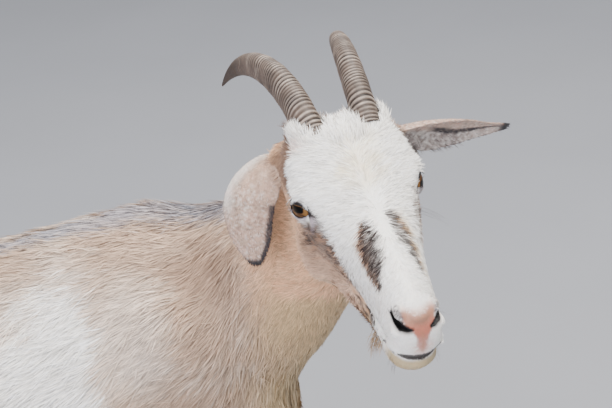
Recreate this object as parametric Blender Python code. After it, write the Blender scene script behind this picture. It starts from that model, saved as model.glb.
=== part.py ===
"""A life-size standing doe goat that turns her head to look over her right side.

Metres, +Z up. The goat stands along Y and faces -Y, and her left side is +X. The flesh is modelled whole,
as lofted forms blended by a voxel remesh, and is then parted by thin cuts into head, neck, trunk, tail and
legs. Ears, horns, eyes, hooves and dewclaws are pieces of their own, seated in pockets of the flesh.
"""

import math

import bmesh
import bpy
from mathutils import Euler, Matrix, Vector

# ---- driving dimensions -------------------------------------------------------------------------------
WITHERS_HEIGHT = 0.695          # floor to the top of the coat over the shoulder blades
CORONET_HEIGHT = 0.040          # floor to the hair line of the hooves
EYE_SPAN = 0.109                # across both eyes
EYE_RADIUS = 0.0145
HORN_LENGTH = 0.2015

# The head: where the middle between the eyes lies from the withers, and how the head is held.
HEAD_PLACE = Vector((-0.215, -0.145, WITHERS_HEIGHT + 0.073))
HEAD_TURN = math.radians(85)    # towards her right
HEAD_DROP = math.radians(16.6)
HEAD_TILT = math.radians(3.5)   # left side up
HEAD_TURNED = Euler((0, 0, -HEAD_TURN)).to_matrix() @ Euler((HEAD_DROP, 0, 0)).to_matrix()
HEAD_FRAME = Matrix.Translation(HEAD_PLACE) @ (HEAD_TURNED @ Euler((0, -HEAD_TILT, 0)).to_matrix()).to_4x4()

GAP = 0.0003                    # clearance between pieces that touch
FORM_VOXEL = 0.004              # grain of the remesh that blends the forms
HEAD_TRIANGLES = 2150           # of the flesh after it is simplified, before it is parted
BODY_TRIANGLES = 2500
HEAD_ZONE = 0.9                 # how near the head the finer triangles begin

LEFT, RIGHT = 1, -1


# ---- small tools --------------------------------------------------------------------------------------
def smooth_between(rows, steps):
    """Rows of numbers, with `steps` rows to each gap between two of them, on Catmull-Rom curves."""
    out = []
    last = len(rows) - 1
    for i in range(last):
        before, here, there, after = rows[max(i - 1, 0)], rows[i], rows[i + 1], rows[min(i + 2, last)]
        for k in range(steps):
            t = k / steps
            out.append([
                0.5 * (2 * b + (c - a) * t + (2 * a - 5 * b + 4 * c - d) * t * t
                       + (3 * b - a - 3 * c + d) * t ** 3)
                for a, b, c, d in zip(before, here, there, after)
            ])
    out.append(list(rows[-1]))
    return out


def rounded(angle, power):
    """Cosine and sine of a superellipse: power 2 is an ellipse, and more is squarer."""
    c, s = math.cos(angle), math.sin(angle)
    return math.copysign(abs(c) ** (2 / power), c), math.copysign(abs(s) ** (2 / power), s)


def loft(bm, rings, close=True):
    """Skins a list of rings, each a list of as many points, and caps both ends."""
    rows = [[bm.verts.new(p) for p in ring] for ring in rings]
    for low, high in zip(rows, rows[1:]):
        for i in range(len(low)):
            j = (i + 1) % len(low)
            bm.faces.new((low[i], low[j], high[j], high[i]))
    if close:
        bm.faces.new(rows[0][::-1])
        bm.faces.new(rows[-1])
    return [v for row in rows for v in row]


def new_object(name, bm, frame=None):
    """A mesh object from bm, in world space; frame is applied to its points first."""
    if frame is not None:
        bm.transform(frame)
    bmesh.ops.triangulate(bm, faces=bm.faces)
    bmesh.ops.recalc_face_normals(bm, faces=bm.faces)
    if bm.calc_volume(signed=True) < 0:
        bmesh.ops.reverse_faces(bm, faces=bm.faces)
    mesh = bpy.data.meshes.new(name)
    bm.to_mesh(mesh)
    bm.free()
    obj = bpy.data.objects.new(name, mesh)
    bpy.context.scene.collection.objects.link(obj)
    return obj


def settle(obj):
    """Turns an object's modifiers into its mesh."""
    bpy.context.view_layer.update()
    graph = bpy.context.evaluated_depsgraph_get()
    mesh = bpy.data.meshes.new_from_object(obj.evaluated_get(graph))
    obj.modifiers.clear()
    obj.data = mesh


def cut_with(obj, cutter, operation="DIFFERENCE"):
    """Takes the cutter's volume out of obj, or keeps only what is inside it, and removes the cutter."""
    modifier = obj.modifiers.new("cut", "BOOLEAN")
    modifier.operation = operation
    modifier.object = cutter
    settle(obj)
    bpy.data.objects.remove(cutter)


def seat(piece, body):
    """Sinks piece into a pocket of body that is wider than it by the gap."""
    pocket = piece.copy()
    pocket.data = piece.data.copy()
    bpy.context.scene.collection.objects.link(pocket)
    for vertex, normal in zip(pocket.data.vertices, [v.vector.copy() for v in piece.data.vertex_normals]):
        vertex.co += normal * (1.6 * GAP)
    cut_with(body, pocket)


def material(name, rgb, roughness):
    found = bpy.data.materials.new(name)
    found.use_nodes = True
    shader = found.node_tree.nodes["Principled BSDF"]
    shader.inputs["Base Color"].default_value = (*rgb, 1)
    shader.inputs["Roughness"].default_value = roughness
    shader.inputs["Metallic"].default_value = 0
    return found


def crown(forward, left, up):
    """A point of the head's own frame, which has its origin between the eyes and faces -Y."""
    return Vector((left, -forward, up))


# ---- forms of the trunk, neck and tail ----------------------------------------------------------------
# from the breast back: y, top z, widest z, bottom z, half width, roundness above and below
TRUNK_SECTIONS = [
    (-0.112, 0.545, 0.505, 0.465, 0.034, 2.0, 2.0),
    (-0.100, 0.590, 0.505, 0.430, 0.068, 2.0, 2.0),
    (-0.060, 0.655, 0.510, 0.388, 0.103, 2.0, 2.0),
    (-0.005, 0.694, 0.520, 0.368, 0.118, 1.75, 2.1),
    (0.075, 0.690, 0.520, 0.358, 0.127, 1.75, 2.1),
    (0.160, 0.677, 0.512, 0.350, 0.141, 1.8, 2.2),
    (0.250, 0.671, 0.505, 0.345, 0.150, 1.85, 2.2),
    (0.340, 0.674, 0.508, 0.352, 0.144, 1.85, 2.2),
    (0.420, 0.683, 0.525, 0.382, 0.126, 1.85, 2.1),
    (0.490, 0.686, 0.545, 0.418, 0.110, 1.9, 2.0),
    (0.548, 0.668, 0.555, 0.448, 0.092, 2.0, 2.0),
    (0.588, 0.638, 0.560, 0.485, 0.068, 2.0, 2.0),
    (0.606, 0.605, 0.560, 0.515, 0.036, 2.0, 2.0),
]

# from inside the chest to the skull: centre x, y, z, half width, crest above, throat below
NECK_SECTIONS = [
    (0.000, 0.040, 0.560, 0.110, 0.130, 0.120),
    (-0.010, -0.026, 0.575, 0.104, 0.114, 0.112),
    (-0.030, -0.072, 0.603, 0.086, 0.096, 0.096),
    (-0.058, -0.103, 0.640, 0.066, 0.078, 0.080),
    (-0.088, -0.124, 0.680, 0.053, 0.066, 0.069),
    (-0.118, -0.137, 0.718, 0.050, 0.061, 0.062),
    (-0.146, -0.145, 0.748, 0.048, 0.058, 0.060),
]

TAIL_SECTIONS = [               # along the tail: y, z, half width, half depth
    (0.560, 0.620, 0.026, 0.024),
    (0.600, 0.640, 0.025, 0.019),
    (0.632, 0.658, 0.027, 0.015),
    (0.658, 0.682, 0.025, 0.012),
    (0.676, 0.708, 0.018, 0.009),
    (0.684, 0.728, 0.008, 0.005),
]


def add_trunk(bm):
    rings = []
    for y, top, widest, bottom, half, above, below in smooth_between(TRUNK_SECTIONS, 3):
        ring = []
        for i in range(40):
            angle = 2 * math.pi * i / 40
            power = above if angle < math.pi else below
            x, z = rounded(angle, power)
            ring.append((half * x, y, widest + z * ((top - widest) if z > 0 else (widest - bottom))))
        rings.append(ring)
    loft(bm, rings)


def path_rings(stations, side_hint, sides=28):
    """Rings square to a path: each station is (centre, half width, up, down), up being towards the crest."""
    rings = []
    for i, (centre, half, up, down) in enumerate(stations):
        ahead = stations[min(i + 1, len(stations) - 1)][0]
        behind = stations[max(i - 1, 0)][0]
        along = (ahead - behind).normalized()
        side = side_hint(along)
        crest = side.cross(along).normalized()
        if crest.z < 0 or (abs(crest.z) < 0.3 and crest.y > 0):
            crest = -crest
        ring = []
        for k in range(sides):
            angle = 2 * math.pi * k / sides
            c, s = math.cos(angle), math.sin(angle)
            ring.append(centre + side * (half * c) + crest * (s * (up if s > 0 else down)))
        rings.append(ring)
    return rings


def add_neck(bm):
    rows = smooth_between(NECK_SECTIONS, 4)
    stations = [(Vector(r[:3]), r[3], r[4], r[5]) for r in rows]
    loft(bm, path_rings(stations, lambda along: along.cross(Vector((0, 0, 1))).normalized()))


def add_tail(bm):
    rows = smooth_between(TAIL_SECTIONS, 3)
    stations = [(Vector((0, y, z)), half, deep, deep) for y, z, half, deep in rows]
    loft(bm, path_rings(stations, lambda along: Vector((1, 0, 0)), sides=16))


# ---- forms of the legs --------------------------------------------------------------------------------
# down the left leg: x, y, z, half width, half depth fore and aft
FORE_LEG = [
    (0.068, 0.020, 0.560, 0.034, 0.080),
    (0.086, 0.000, 0.490, 0.040, 0.078),
    (0.086, 0.006, 0.430, 0.036, 0.062),
    (0.082, 0.008, 0.370, 0.030, 0.044),
    (0.078, 0.004, 0.310, 0.024, 0.031),
    (0.076, -0.001, 0.262, 0.020, 0.024),
    (0.075, -0.004, 0.232, 0.022, 0.025),
    (0.075, -0.001, 0.200, 0.018, 0.020),
    (0.075, 0.002, 0.150, 0.0148, 0.0175),
    (0.075, 0.002, 0.112, 0.0155, 0.0185),
    (0.075, 0.001, 0.090, 0.0185, 0.0215),
    (0.075, -0.006, 0.066, 0.0175, 0.0190),
    (0.075, -0.014, 0.044, 0.0215, 0.0255),
    (0.075, -0.018, 0.026, 0.0225, 0.0280),
]
HIND_LEG = [
    (0.060, 0.480, 0.600, 0.042, 0.085),
    (0.088, 0.462, 0.540, 0.044, 0.108),
    (0.099, 0.444, 0.480, 0.042, 0.104),
    (0.102, 0.436, 0.425, 0.037, 0.084),
    (0.100, 0.450, 0.375, 0.030, 0.058),
    (0.095, 0.478, 0.328, 0.0235, 0.038),
    (0.090, 0.508, 0.288, 0.0185, 0.028),
    (0.088, 0.530, 0.254, 0.0190, 0.029),
    (0.087, 0.538, 0.222, 0.0165, 0.025),
    (0.086, 0.540, 0.170, 0.0145, 0.0185),
    (0.086, 0.540, 0.118, 0.0155, 0.0185),
    (0.086, 0.538, 0.092, 0.0180, 0.0210),
    (0.086, 0.530, 0.068, 0.0170, 0.0190),
    (0.086, 0.521, 0.044, 0.0210, 0.0250),
    (0.086, 0.517, 0.026, 0.0220, 0.0270),
]
# how far each foot stands ahead (-) or behind (+) of square, so that the stance is natural
STRIDE = {"front_left": -0.030, "front_right": 0.022, "hind_left": 0.030, "hind_right": -0.034}
STRIDE_FROM, STRIDE_TO = 0.52, 0.05     # the leg swings between these heights


def leg_rows(name):
    """The sections of one leg where it stands, top first."""
    side = LEFT if name.endswith("left") else RIGHT
    rows = []
    for x, y, z, half, deep in FORE_LEG if name.startswith("front") else HIND_LEG:
        share = min(1, max(0, (STRIDE_FROM - z) / (STRIDE_FROM - STRIDE_TO)))
        rows.append((side * x, y + STRIDE[name] * share, z, half, deep))
    return rows


def add_leg(bm, name):
    rings = []
    for x, y, z, half, deep in smooth_between(leg_rows(name), 3):
        ring = []
        for k in range(24):
            c, s = rounded(2 * math.pi * k / 24, 2.2)
            ring.append((x + half * c, y + deep * s, z))
        rings.append(ring[::-1])
    loft(bm, rings)


def add_ball(bm, centre, radii, turn=(0, 0, 0), sides=24):
    """An ellipsoid of muscle, bone or fat; radii along its own x, y and z."""
    matrix = Matrix.Translation(centre) @ Euler([math.radians(a) for a in turn]).to_matrix().to_4x4()
    bmesh.ops.create_uvsphere(bm, u_segments=sides, v_segments=sides * 5 // 8, radius=1,
                              matrix=matrix @ Matrix.Diagonal((*radii, 1)))


def add_muscles(bm):
    for side in (LEFT, RIGHT):
        add_ball(bm, (side * 0.080, 0.012, 0.540), (0.038, 0.080, 0.105), (0, side * 10, 0))   # shoulder blade
        add_ball(bm, (side * 0.080, -0.046, 0.486), (0.036, 0.052, 0.056))                     # shoulder point
        add_ball(bm, (side * 0.066, 0.455, 0.592), (0.048, 0.120, 0.070))                      # haunch
        add_ball(bm, (side * 0.092, 0.455, 0.505), (0.046, 0.115, 0.100))                      # thigh
        add_ball(bm, (side * 0.040, 0.575, 0.580), (0.030, 0.034, 0.040))                      # pin bone
        add_ball(bm, (side * 0.020, 0.435, 0.392), (0.026, 0.046, 0.044))                      # udder, dry
    add_ball(bm, (0, -0.066, 0.440), (0.052, 0.055, 0.052))                                    # brisket


# ---- forms of the head, in its own frame --------------------------------------------------------------
# skull and upper muzzle, back to front: forward, top, widest, bottom, half width, roundness above, below
SKULL_SECTIONS = [
    (-0.092, 0.010, -0.022, -0.058, 0.036, 2.0, 2.0),
    (-0.078, 0.023, -0.016, -0.070, 0.047, 2.1, 2.0),
    (-0.055, 0.041, -0.004, -0.078, 0.0525, 2.5, 2.0),
    (-0.030, 0.043, 0.002, -0.078, 0.0530, 2.7, 2.0),
    (-0.005, 0.037, 0.004, -0.074, 0.0505, 2.6, 2.0),
    (0.020, 0.028, -0.006, -0.066, 0.0445, 2.3, 2.0),
    (0.045, 0.021, -0.014, -0.058, 0.0370, 2.2, 2.1),
    (0.070, 0.016, -0.020, -0.054, 0.0290, 2.2, 2.3),
    (0.095, 0.011, -0.025, -0.053, 0.0248, 2.3, 2.5),
    (0.118, 0.006, -0.027, -0.053, 0.0225, 2.1, 2.6),
    (0.132, -0.001, -0.028, -0.053, 0.0208, 2.0, 2.6),
    (0.140, -0.011, -0.030, -0.051, 0.0175, 2.2, 2.4),
    (0.144, -0.022, -0.033, -0.046, 0.0090, 2.0, 2.0),
]
# lower jaw, back to front: the same columns
JAW_SECTIONS = [
    (-0.070, -0.030, -0.055, -0.084, 0.030, 2.0, 2.0),
    (-0.050, -0.025, -0.058, -0.098, 0.040, 2.0, 2.0),
    (-0.020, -0.022, -0.058, -0.102, 0.042, 2.0, 2.0),
    (0.010, -0.024, -0.056, -0.096, 0.038, 2.0, 2.0),
    (0.040, -0.030, -0.058, -0.085, 0.030, 2.0, 2.0),
    (0.070, -0.042, -0.060, -0.076, 0.0235, 2.0, 2.1),
    (0.095, -0.048, -0.060, -0.074, 0.0215, 2.1, 2.2),
    (0.115, -0.050, -0.062, -0.076, 0.0215, 2.2, 2.2),
    (0.130, -0.051, -0.061, -0.073, 0.0185, 2.2, 2.2),
    (0.139, -0.053, -0.059, -0.066, 0.0110, 2.0, 2.0),
]
EYE_FACING = crown(0.32, 0.94, 0.10).normalized()   # the left eye looks out, a little ahead and up


def eye_centre(side):
    surface = crown(0, EYE_SPAN / 2, 0)
    centre = surface - EYE_FACING * EYE_RADIUS
    return Vector((side * centre.x, centre.y, centre.z))


def add_head_loft(bm, sections):
    rings = []
    for forward, top, widest, bottom, half, above, below in smooth_between(sections, 3):
        ring = []
        for k in range(32):
            angle = 2 * math.pi * k / 32
            c, s = rounded(angle, above if angle < math.pi else below)
            reach = (top - widest) if s > 0 else (widest - bottom)
            ring.append(HEAD_FRAME @ crown(forward, half * c, widest + reach * s))
        rings.append(ring)
    loft(bm, rings)


def add_head(bm):
    add_head_loft(bm, SKULL_SECTIONS)
    add_head_loft(bm, JAW_SECTIONS)
    start = len(bm.verts)
    for side in (LEFT, RIGHT):
        add_ball(bm, crown(-0.006, side * 0.038, 0.014), (0.0160, 0.022, 0.0115))      # brow over the eye
        add_ball(bm, crown(0.004, side * 0.037, -0.014), (0.0130, 0.022, 0.0100))      # rim under the eye
        add_ball(bm, crown(-0.014, side * 0.030, -0.055), (0.0190, 0.036, 0.034))      # cheek muscle
        add_ball(bm, crown(-0.053, side * 0.026, 0.034), (0.0195, 0.021, 0.013))       # horn boss
        add_ball(bm, crown(0.124, side * 0.0110, -0.013), (0.0085, 0.015, 0.0100))     # wing of the nostril
        add_ball(bm, crown(0.124, side * 0.0095, -0.040), (0.0140, 0.017, 0.0130))     # pad of the upper lip
        add_ball(bm, crown(-0.064, side * 0.042, 0.004), (0.0150, 0.016, 0.0150))      # root of the ear
    add_ball(bm, crown(0.125, 0, -0.064), (0.0150, 0.014, 0.0115))                     # chin
    bm.verts.ensure_lookup_table()
    bmesh.ops.transform(bm, matrix=HEAD_FRAME, verts=bm.verts[start:])


# ---- the flesh, whole and then parted -----------------------------------------------------------------
def head_nearness(point):
    """1 inside the head, falling to 0 well down the neck."""
    from_head = (point - HEAD_FRAME @ crown(0.03, 0, -0.02)).length
    return min(1, max(0, (0.21 - from_head) / 0.06))


def limb_clearance(point):
    """0 in the legs and the tail, rising to 1 in the trunk and neck."""
    above_legs = (point.z - 0.36) / 0.10
    before_tail = (0.62 - point.y) / 0.03
    return min(1, max(0, min(above_legs, before_tail)))


def weigh(obj, name, weight_of):
    group = obj.vertex_groups.new(name=name)
    levels = {}
    for vertex in obj.data.vertices:
        levels.setdefault(round(weight_of(vertex.co), 1), []).append(vertex.index)
    for weight, members in levels.items():
        group.add(members, weight, "REPLACE")
    return group


def make_flesh():
    bm = bmesh.new()
    add_trunk(bm)
    add_neck(bm)
    add_tail(bm)
    add_muscles(bm)
    for name in STRIDE:
        add_leg(bm, name)
    add_head(bm)
    flesh = new_object("flesh", bm)
    remesh = flesh.modifiers.new("blend", "REMESH")
    remesh.mode = "VOXEL"
    remesh.voxel_size = FORM_VOXEL
    settle(flesh)

    weigh(flesh, "trunk", lambda p: (1 - head_nearness(p)) * limb_clearance(p))
    weigh(flesh, "limbs", lambda p: (1 - head_nearness(p)) * (1 - limb_clearance(p)))
    weigh(flesh, "head", head_nearness)
    for group, repeats in (("trunk", 110), ("limbs", 12), ("head", 3)):
        smooth = flesh.modifiers.new("smooth " + group, "SMOOTH")
        smooth.factor = 0.5
        smooth.iterations = repeats
        smooth.vertex_group = group
    settle(flesh)
    in_head = sum(head_nearness(face.center) > HEAD_ZONE for face in flesh.data.polygons)
    weigh(flesh, "rest", lambda p: head_nearness(p) <= HEAD_ZONE)
    weigh(flesh, "face", lambda p: head_nearness(p) > HEAD_ZONE)
    simplify(flesh, "rest", 2 * in_head + BODY_TRIANGLES)
    simplify(flesh, "face", HEAD_TRIANGLES + BODY_TRIANGLES)
    return flesh


def simplify(obj, group, triangles):
    """Simplifies only the part of obj in the vertex group, until obj has this many triangles."""
    thin = obj.modifiers.new("simplify", "DECIMATE")
    thin.ratio = triangles / sum(len(face.vertices) - 2 for face in obj.data.polygons)
    thin.vertex_group = group
    thin.vertex_group_factor = 1
    settle(obj)


def region(place, reach, across, upright, grow):
    """A block from `place` out along reach, and half of across and of upright to either side of it."""
    place, reach, across, upright = (Vector(v) for v in (place, reach, across, upright))
    place = place - reach * (grow / reach.length)
    reach, across, upright = (v * (1 + 2 * grow / v.length) for v in (reach, across, upright))
    bm = bmesh.new()
    bmesh.ops.create_cube(bm, size=1)
    for vertex in bm.verts:
        a, b, c = vertex.co
        vertex.co = place + reach * (a + 0.5) + across * b + upright * c
    return new_object("region", bm)


def part_flesh(flesh):
    """Parts the flesh along thin cuts, and returns its pieces by name."""
    to_head = HEAD_FRAME.to_3x3()
    cuts = {
        "tail": ((0, 0.604, 0.642), (0, 0.120, 0.090), (0.12, 0, 0), (0, -0.060, 0.080)),
        "head": (HEAD_FRAME @ crown(-0.082, 0, -0.020), to_head @ crown(0.32, 0, 0.05),
                 to_head @ crown(0, 0.26, 0), to_head @ crown(-0.04, 0, 0.26)),
        "neck": ((-0.120, -0.052, 0.660), (-0.066, -0.270, 0.114), (0.45, -0.11, 0), (0, 0.17, 0.41)),
    }
    for name in STRIDE:
        side = LEFT if name.endswith("left") else RIGHT
        if name.startswith("front"):
            cuts["leg_" + name] = ((side * 0.100, -0.015, 0.402), (0, 0, -0.5), (0.130, 0, side * 0.101),
                                   (0, 0.190, 0))
        else:
            cuts["leg_" + name] = ((side * 0.105, 0.468, 0.498), (0, 0, -0.6), (0.120, 0, side * 0.204),
                                   (0, 0.265, 0))
    pieces = {}
    for name, sides in cuts.items():
        piece = flesh.copy()
        piece.data = flesh.data.copy()
        piece.name = name
        bpy.context.scene.collection.objects.link(piece)
        cut_with(piece, region(*sides, 0), "INTERSECT")
        cut_with(flesh, region(*sides, GAP))
        pieces[name] = piece
    flesh.name = "trunk"
    pieces["trunk"] = flesh
    return pieces


# ---- eyes, horns and ears -----------------------------------------------------------------------------
def make_eye(side):
    bm = bmesh.new()
    bmesh.ops.create_uvsphere(bm, u_segments=14, v_segments=8, radius=EYE_RADIUS)
    facing = Vector((side * EYE_FACING.x, EYE_FACING.y, EYE_FACING.z))
    turn = facing.to_track_quat("Z", "Y").to_matrix().to_4x4()
    bm.transform(Matrix.Translation(eye_centre(side)) @ turn)
    return new_object("eye_left" if side == LEFT else "eye_right", bm, HEAD_FRAME)


HORN_SUNK = 0.020                           # length of horn inside the skull
# The two horns grew a little apart: the root, the way each leaves the skull (both as for a left horn), how
# far the plane of its curve leans outwards, and its curvature per metre at the root and the tip.
HORNS = {
    LEFT: (crown(-0.0609, 0.0249, 0.0403), crown(-0.884, 0.049, 0.464), math.radians(15.6), (8.17, 5.96)),
    RIGHT: (crown(-0.0620, 0.0241, 0.0380), crown(-0.893, 0.052, 0.447), math.radians(16.2), (8.12, 5.52)),
}
HORN_HALF = (0.0124, 0.0152)                # half breadth and half depth at the root
HORN_RINGS = 27
HORN_RIDGES = 0.0006


def horn_line(side):
    """Points of a horn's middle, each with its direction, from the root to the tip, as for a left horn."""
    root, start, lean, curve = HORNS[side]
    direction = start.normalized()
    back = crown(-1, 0, 0)
    towards = (back - direction * back.dot(direction)).normalized()
    outwards = towards.cross(direction)
    if outwards.x < 0:
        outwards = -outwards
    axis = direction.cross(math.cos(lean) * towards + math.sin(lean) * outwards)
    point = root - direction * HORN_SUNK
    step = (HORN_LENGTH + HORN_SUNK) / HORN_RINGS
    line = []
    for i in range(HORN_RINGS + 1):
        line.append((point.copy(), direction.copy()))
        bend = curve[0] + (curve[1] - curve[0]) * i / HORN_RINGS
        point += direction * step
        direction = Matrix.Rotation(bend * step, 3, axis) @ direction
    return line, axis.normalized()


def make_horn(side):
    line, axis = horn_line(side)
    rings = []
    for i, (point, direction) in enumerate(line):
        share = i / HORN_RINGS
        taper = (1 - share ** 2.3) * 0.93 + 0.07
        ridge = HORN_RIDGES * (1 if i % 2 else -1) * (share < 0.72)
        keel = axis.cross(direction).normalized()      # towards the inside of the curve
        ring = []
        for k in range(10):
            angle = 2 * math.pi * k / 10
            breadth = HORN_HALF[0] * taper + ridge
            depth = HORN_HALF[1] * taper + ridge
            p = point + axis * (breadth * math.cos(angle)) + keel * (depth * math.sin(angle))
            ring.append((side * p.x, p.y, p.z))
        rings.append(ring)
    bm = bmesh.new()
    loft(bm, rings)
    return new_object("horn_left" if side == LEFT else "horn_right", bm, HEAD_FRAME)


# Along each ear, in the head's frame: forward, left, up, half width, cup depth. The facing is where the
# back of the ear looks, which turns over as the right ear droops.
EARS = {
    "ear_left": (
        [(-0.058, 0.040, 0.009, 0.014, 0.006), (-0.060, 0.062, 0.008, 0.0205, 0.010),
         (-0.062, 0.086, 0.002, 0.0225, 0.012), (-0.061, 0.110, -0.0035, 0.0185, 0.009),
         (-0.059, 0.132, -0.0095, 0.0115, 0.005), (-0.055, 0.155, -0.0130, 0.0045, 0.001)],
        [(-0.80, 0.05, 0.60), (-0.92, 0.02, 0.38), (-0.94, 0.00, 0.34), (-0.90, 0.00, 0.45)],
    ),
    "ear_right": (
        [(-0.060, -0.040, 0.004, 0.013, 0.006), (-0.064, -0.062, -0.004, 0.020, 0.009),
         (-0.061, -0.080, -0.026, 0.0240, 0.008), (-0.054, -0.085, -0.048, 0.0225, 0.006),
         (-0.047, -0.084, -0.070, 0.0165, 0.003), (-0.042, -0.083, -0.0885, 0.005, 0.001)],
        [(0.05, -0.25, 0.95), (0.45, -0.55, 0.70), (0.80, -0.58, 0.15), (0.82, -0.55, 0.05)],
    ),
}
EAR_THICKNESS = 0.0045


def make_ear(name):
    """A leaf of skin with a cupped cross-section, thick at the root and thin at the rim."""
    rows, facings = EARS[name]
    stations = smooth_between(rows, 3)
    backs = smooth_between(facings, 5)
    rings = []
    across_points = 5
    for i, (forward, left, up, half, cup) in enumerate(stations):
        here = crown(forward, left, up)
        ahead = crown(*stations[min(i + 1, len(stations) - 1)][:3])
        behind = crown(*stations[max(i - 1, 0)][:3])
        along = (ahead - behind).normalized()
        back = crown(*backs[i])
        back = (back - along * back.dot(along)).normalized()
        across = along.cross(back)
        outer, inner = [], []
        for k in range(across_points):
            share = 2 * k / (across_points - 1) - 1
            fold = back * (-cup * share * share)
            thick = EAR_THICKNESS / 2 * (1 - 0.72 * share * share) * (1 - 0.45 * i / len(stations))
            middle = here + across * (half * share) + fold
            outer.append(middle + back * thick)
            inner.append(middle - back * thick)
        rings.append(outer + inner[::-1])
    bm = bmesh.new()
    loft(bm, rings)
    return new_object(name, bm, HEAD_FRAME)


# ---- hooves and dewclaws ----------------------------------------------------------------
CLAW_HALF = 0.0105
CLAW_LENGTH = 0.058
CLAW_CLEFT = 0.0035
CORONET_SLOPE = 0.22                        # the hair line is higher at the toe


def foot_place(name):
    x, y, z, half, deep = leg_rows(name)[-1]
    return Vector((x, y, 0))


def coronet_plane(name):
    """A point and the normal of the hair line across one foot."""
    return foot_place(name) + Vector((0, 0, CORONET_HEIGHT)), Vector((0, CORONET_SLOPE, 1)).normalized()


def make_claw(leg, side):
    """One of the two claws of a hoof; side is +1 for the one towards +X."""
    foot = foot_place(leg)
    bm = bmesh.new()
    rings = []
    for z, shift, scale in ((0.0, -0.0075, 1.04), (0.020, -0.0020, 1.00), (0.060, 0.0100, 0.86)):
        ring = []
        for k in range(10):
            angle = 2 * math.pi * k / 10
            c, s = math.cos(angle), math.sin(angle)
            narrow = 1 - 0.30 * max(0, -s)
            outward = c if c > 0 else 0.45 * c      # the cleft side is flatter
            x = side * (CLAW_CLEFT / 2 + 0.45 * CLAW_HALF + 0.69 * 2 * CLAW_HALF * outward * narrow * scale * 0.72)
            ring.append((foot.x + x, foot.y + shift + CLAW_LENGTH / 2 * s * scale, z))
        rings.append(ring)
    loft(bm, rings)
    point, normal = coronet_plane(leg)
    cut = bmesh.ops.bisect_plane(bm, geom=bm.verts[:] + bm.edges[:] + bm.faces[:], dist=1e-6,
                                 plane_co=point - normal * GAP / 2, plane_no=normal, clear_outer=True)
    bmesh.ops.contextual_create(bm, geom=[e for e in cut["geom_cut"] if isinstance(e, bmesh.types.BMEdge)])
    return new_object(f"claw_{leg}_{'a' if side > 0 else 'b'}", bm)


def make_dewclaw(leg, side):
    row = leg_rows(leg)[10 if leg.startswith("front") else 11]
    place = Vector((row[0] + side * 0.0105, row[1] + row[4] * 0.86, row[2] - 0.013))
    bm = bmesh.new()
    add_ball(bm, place, (0.0055, 0.0060, 0.0095), (-28, 0, 0), sides=6)
    return new_object(f"dewclaw_{leg}_{'a' if side > 0 else 'b'}", bm)


def trim_leg(obj, leg):
    """Ends a leg at its hair line."""
    point, normal = coronet_plane(leg)
    bm = bmesh.new()
    bm.from_mesh(obj.data)
    cut = bmesh.ops.bisect_plane(bm, geom=bm.verts[:] + bm.edges[:] + bm.faces[:], dist=1e-6,
                                 plane_co=point + normal * GAP / 2, plane_no=normal, clear_inner=True)
    bmesh.ops.contextual_create(bm, geom=[e for e in cut["geom_cut"] if isinstance(e, bmesh.types.BMEdge)])
    bmesh.ops.recalc_face_normals(bm, faces=bm.faces)
    bm.to_mesh(obj.data)
    bm.free()


# ---- the whole goat -----------------------------------------------------------------------------------
def finish_piece(obj, finish):
    obj.data.materials.clear()
    obj.data.materials.append(finish)
    obj.data.shade_smooth()
    obj.data.set_sharp_from_angle(angle=math.radians(40))


def stand_on_origin(objects):
    """Puts the middle of the foot of the whole goat's box at the origin."""
    corners = [v.co for obj in objects for v in obj.data.vertices]
    low = [min(c[i] for c in corners) for i in range(3)]
    high = [max(c[i] for c in corners) for i in range(3)]
    move = Vector((-(low[0] + high[0]) / 2, -(low[1] + high[1]) / 2, -low[2]))
    for obj in objects:
        obj.data.transform(Matrix.Translation(move))


def main():
    for obj in list(bpy.data.objects):
        bpy.data.objects.remove(obj)
    coat = material("coat", (0.62, 0.50, 0.38), 0.85)
    pale_coat = material("pale coat", (0.88, 0.85, 0.80), 0.85)
    velvet = material("ear velvet", (0.66, 0.55, 0.47), 0.8)
    horn = material("horn", (0.27, 0.23, 0.19), 0.5)
    hoof = material("hoof", (0.16, 0.13, 0.11), 0.55)
    eye = material("eye", (0.36, 0.19, 0.06), 0.1)

    made = []
    pieces = part_flesh(make_flesh())
    seated = [(make_ear(name), velvet, "head") for name in EARS]
    for side in (LEFT, RIGHT):
        seated.append((make_eye(side), eye, "head"))
        seated.append((make_horn(side), horn, "head"))
    for leg in STRIDE:
        trim_leg(pieces["leg_" + leg], leg)
        for side in (LEFT, RIGHT):
            made.append((make_claw(leg, side), hoof))
            seated.append((make_dewclaw(leg, side), hoof, "leg_" + leg))
    for piece, finish, body in seated:
        seat(piece, pieces[body])
        made.append((piece, finish))
    made += [(piece, pale_coat if name == "head" else coat) for name, piece in pieces.items()]
    for obj, finish in made:
        finish_piece(obj, finish)
    stand_on_origin([obj for obj, _ in made])


main()
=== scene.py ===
"""The looks of the standing goat: one skin with its coat of hair, ringed horns, eyes and hooves.

The skin lies inside the flesh of the frame by the depth of the coat. Every hair tuft is a thin mesh blade
rooted on the skin, laid along the body. Skin and coat take their markings from the same functions.
"""
import math
from contextlib import contextmanager

import bmesh
import bpy
import numpy as np
from bpy.props import FloatProperty, IntProperty, PointerProperty, StringProperty
from mathutils import Euler, Matrix, Vector
from mathutils.bvhtree import BVHTree


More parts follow.
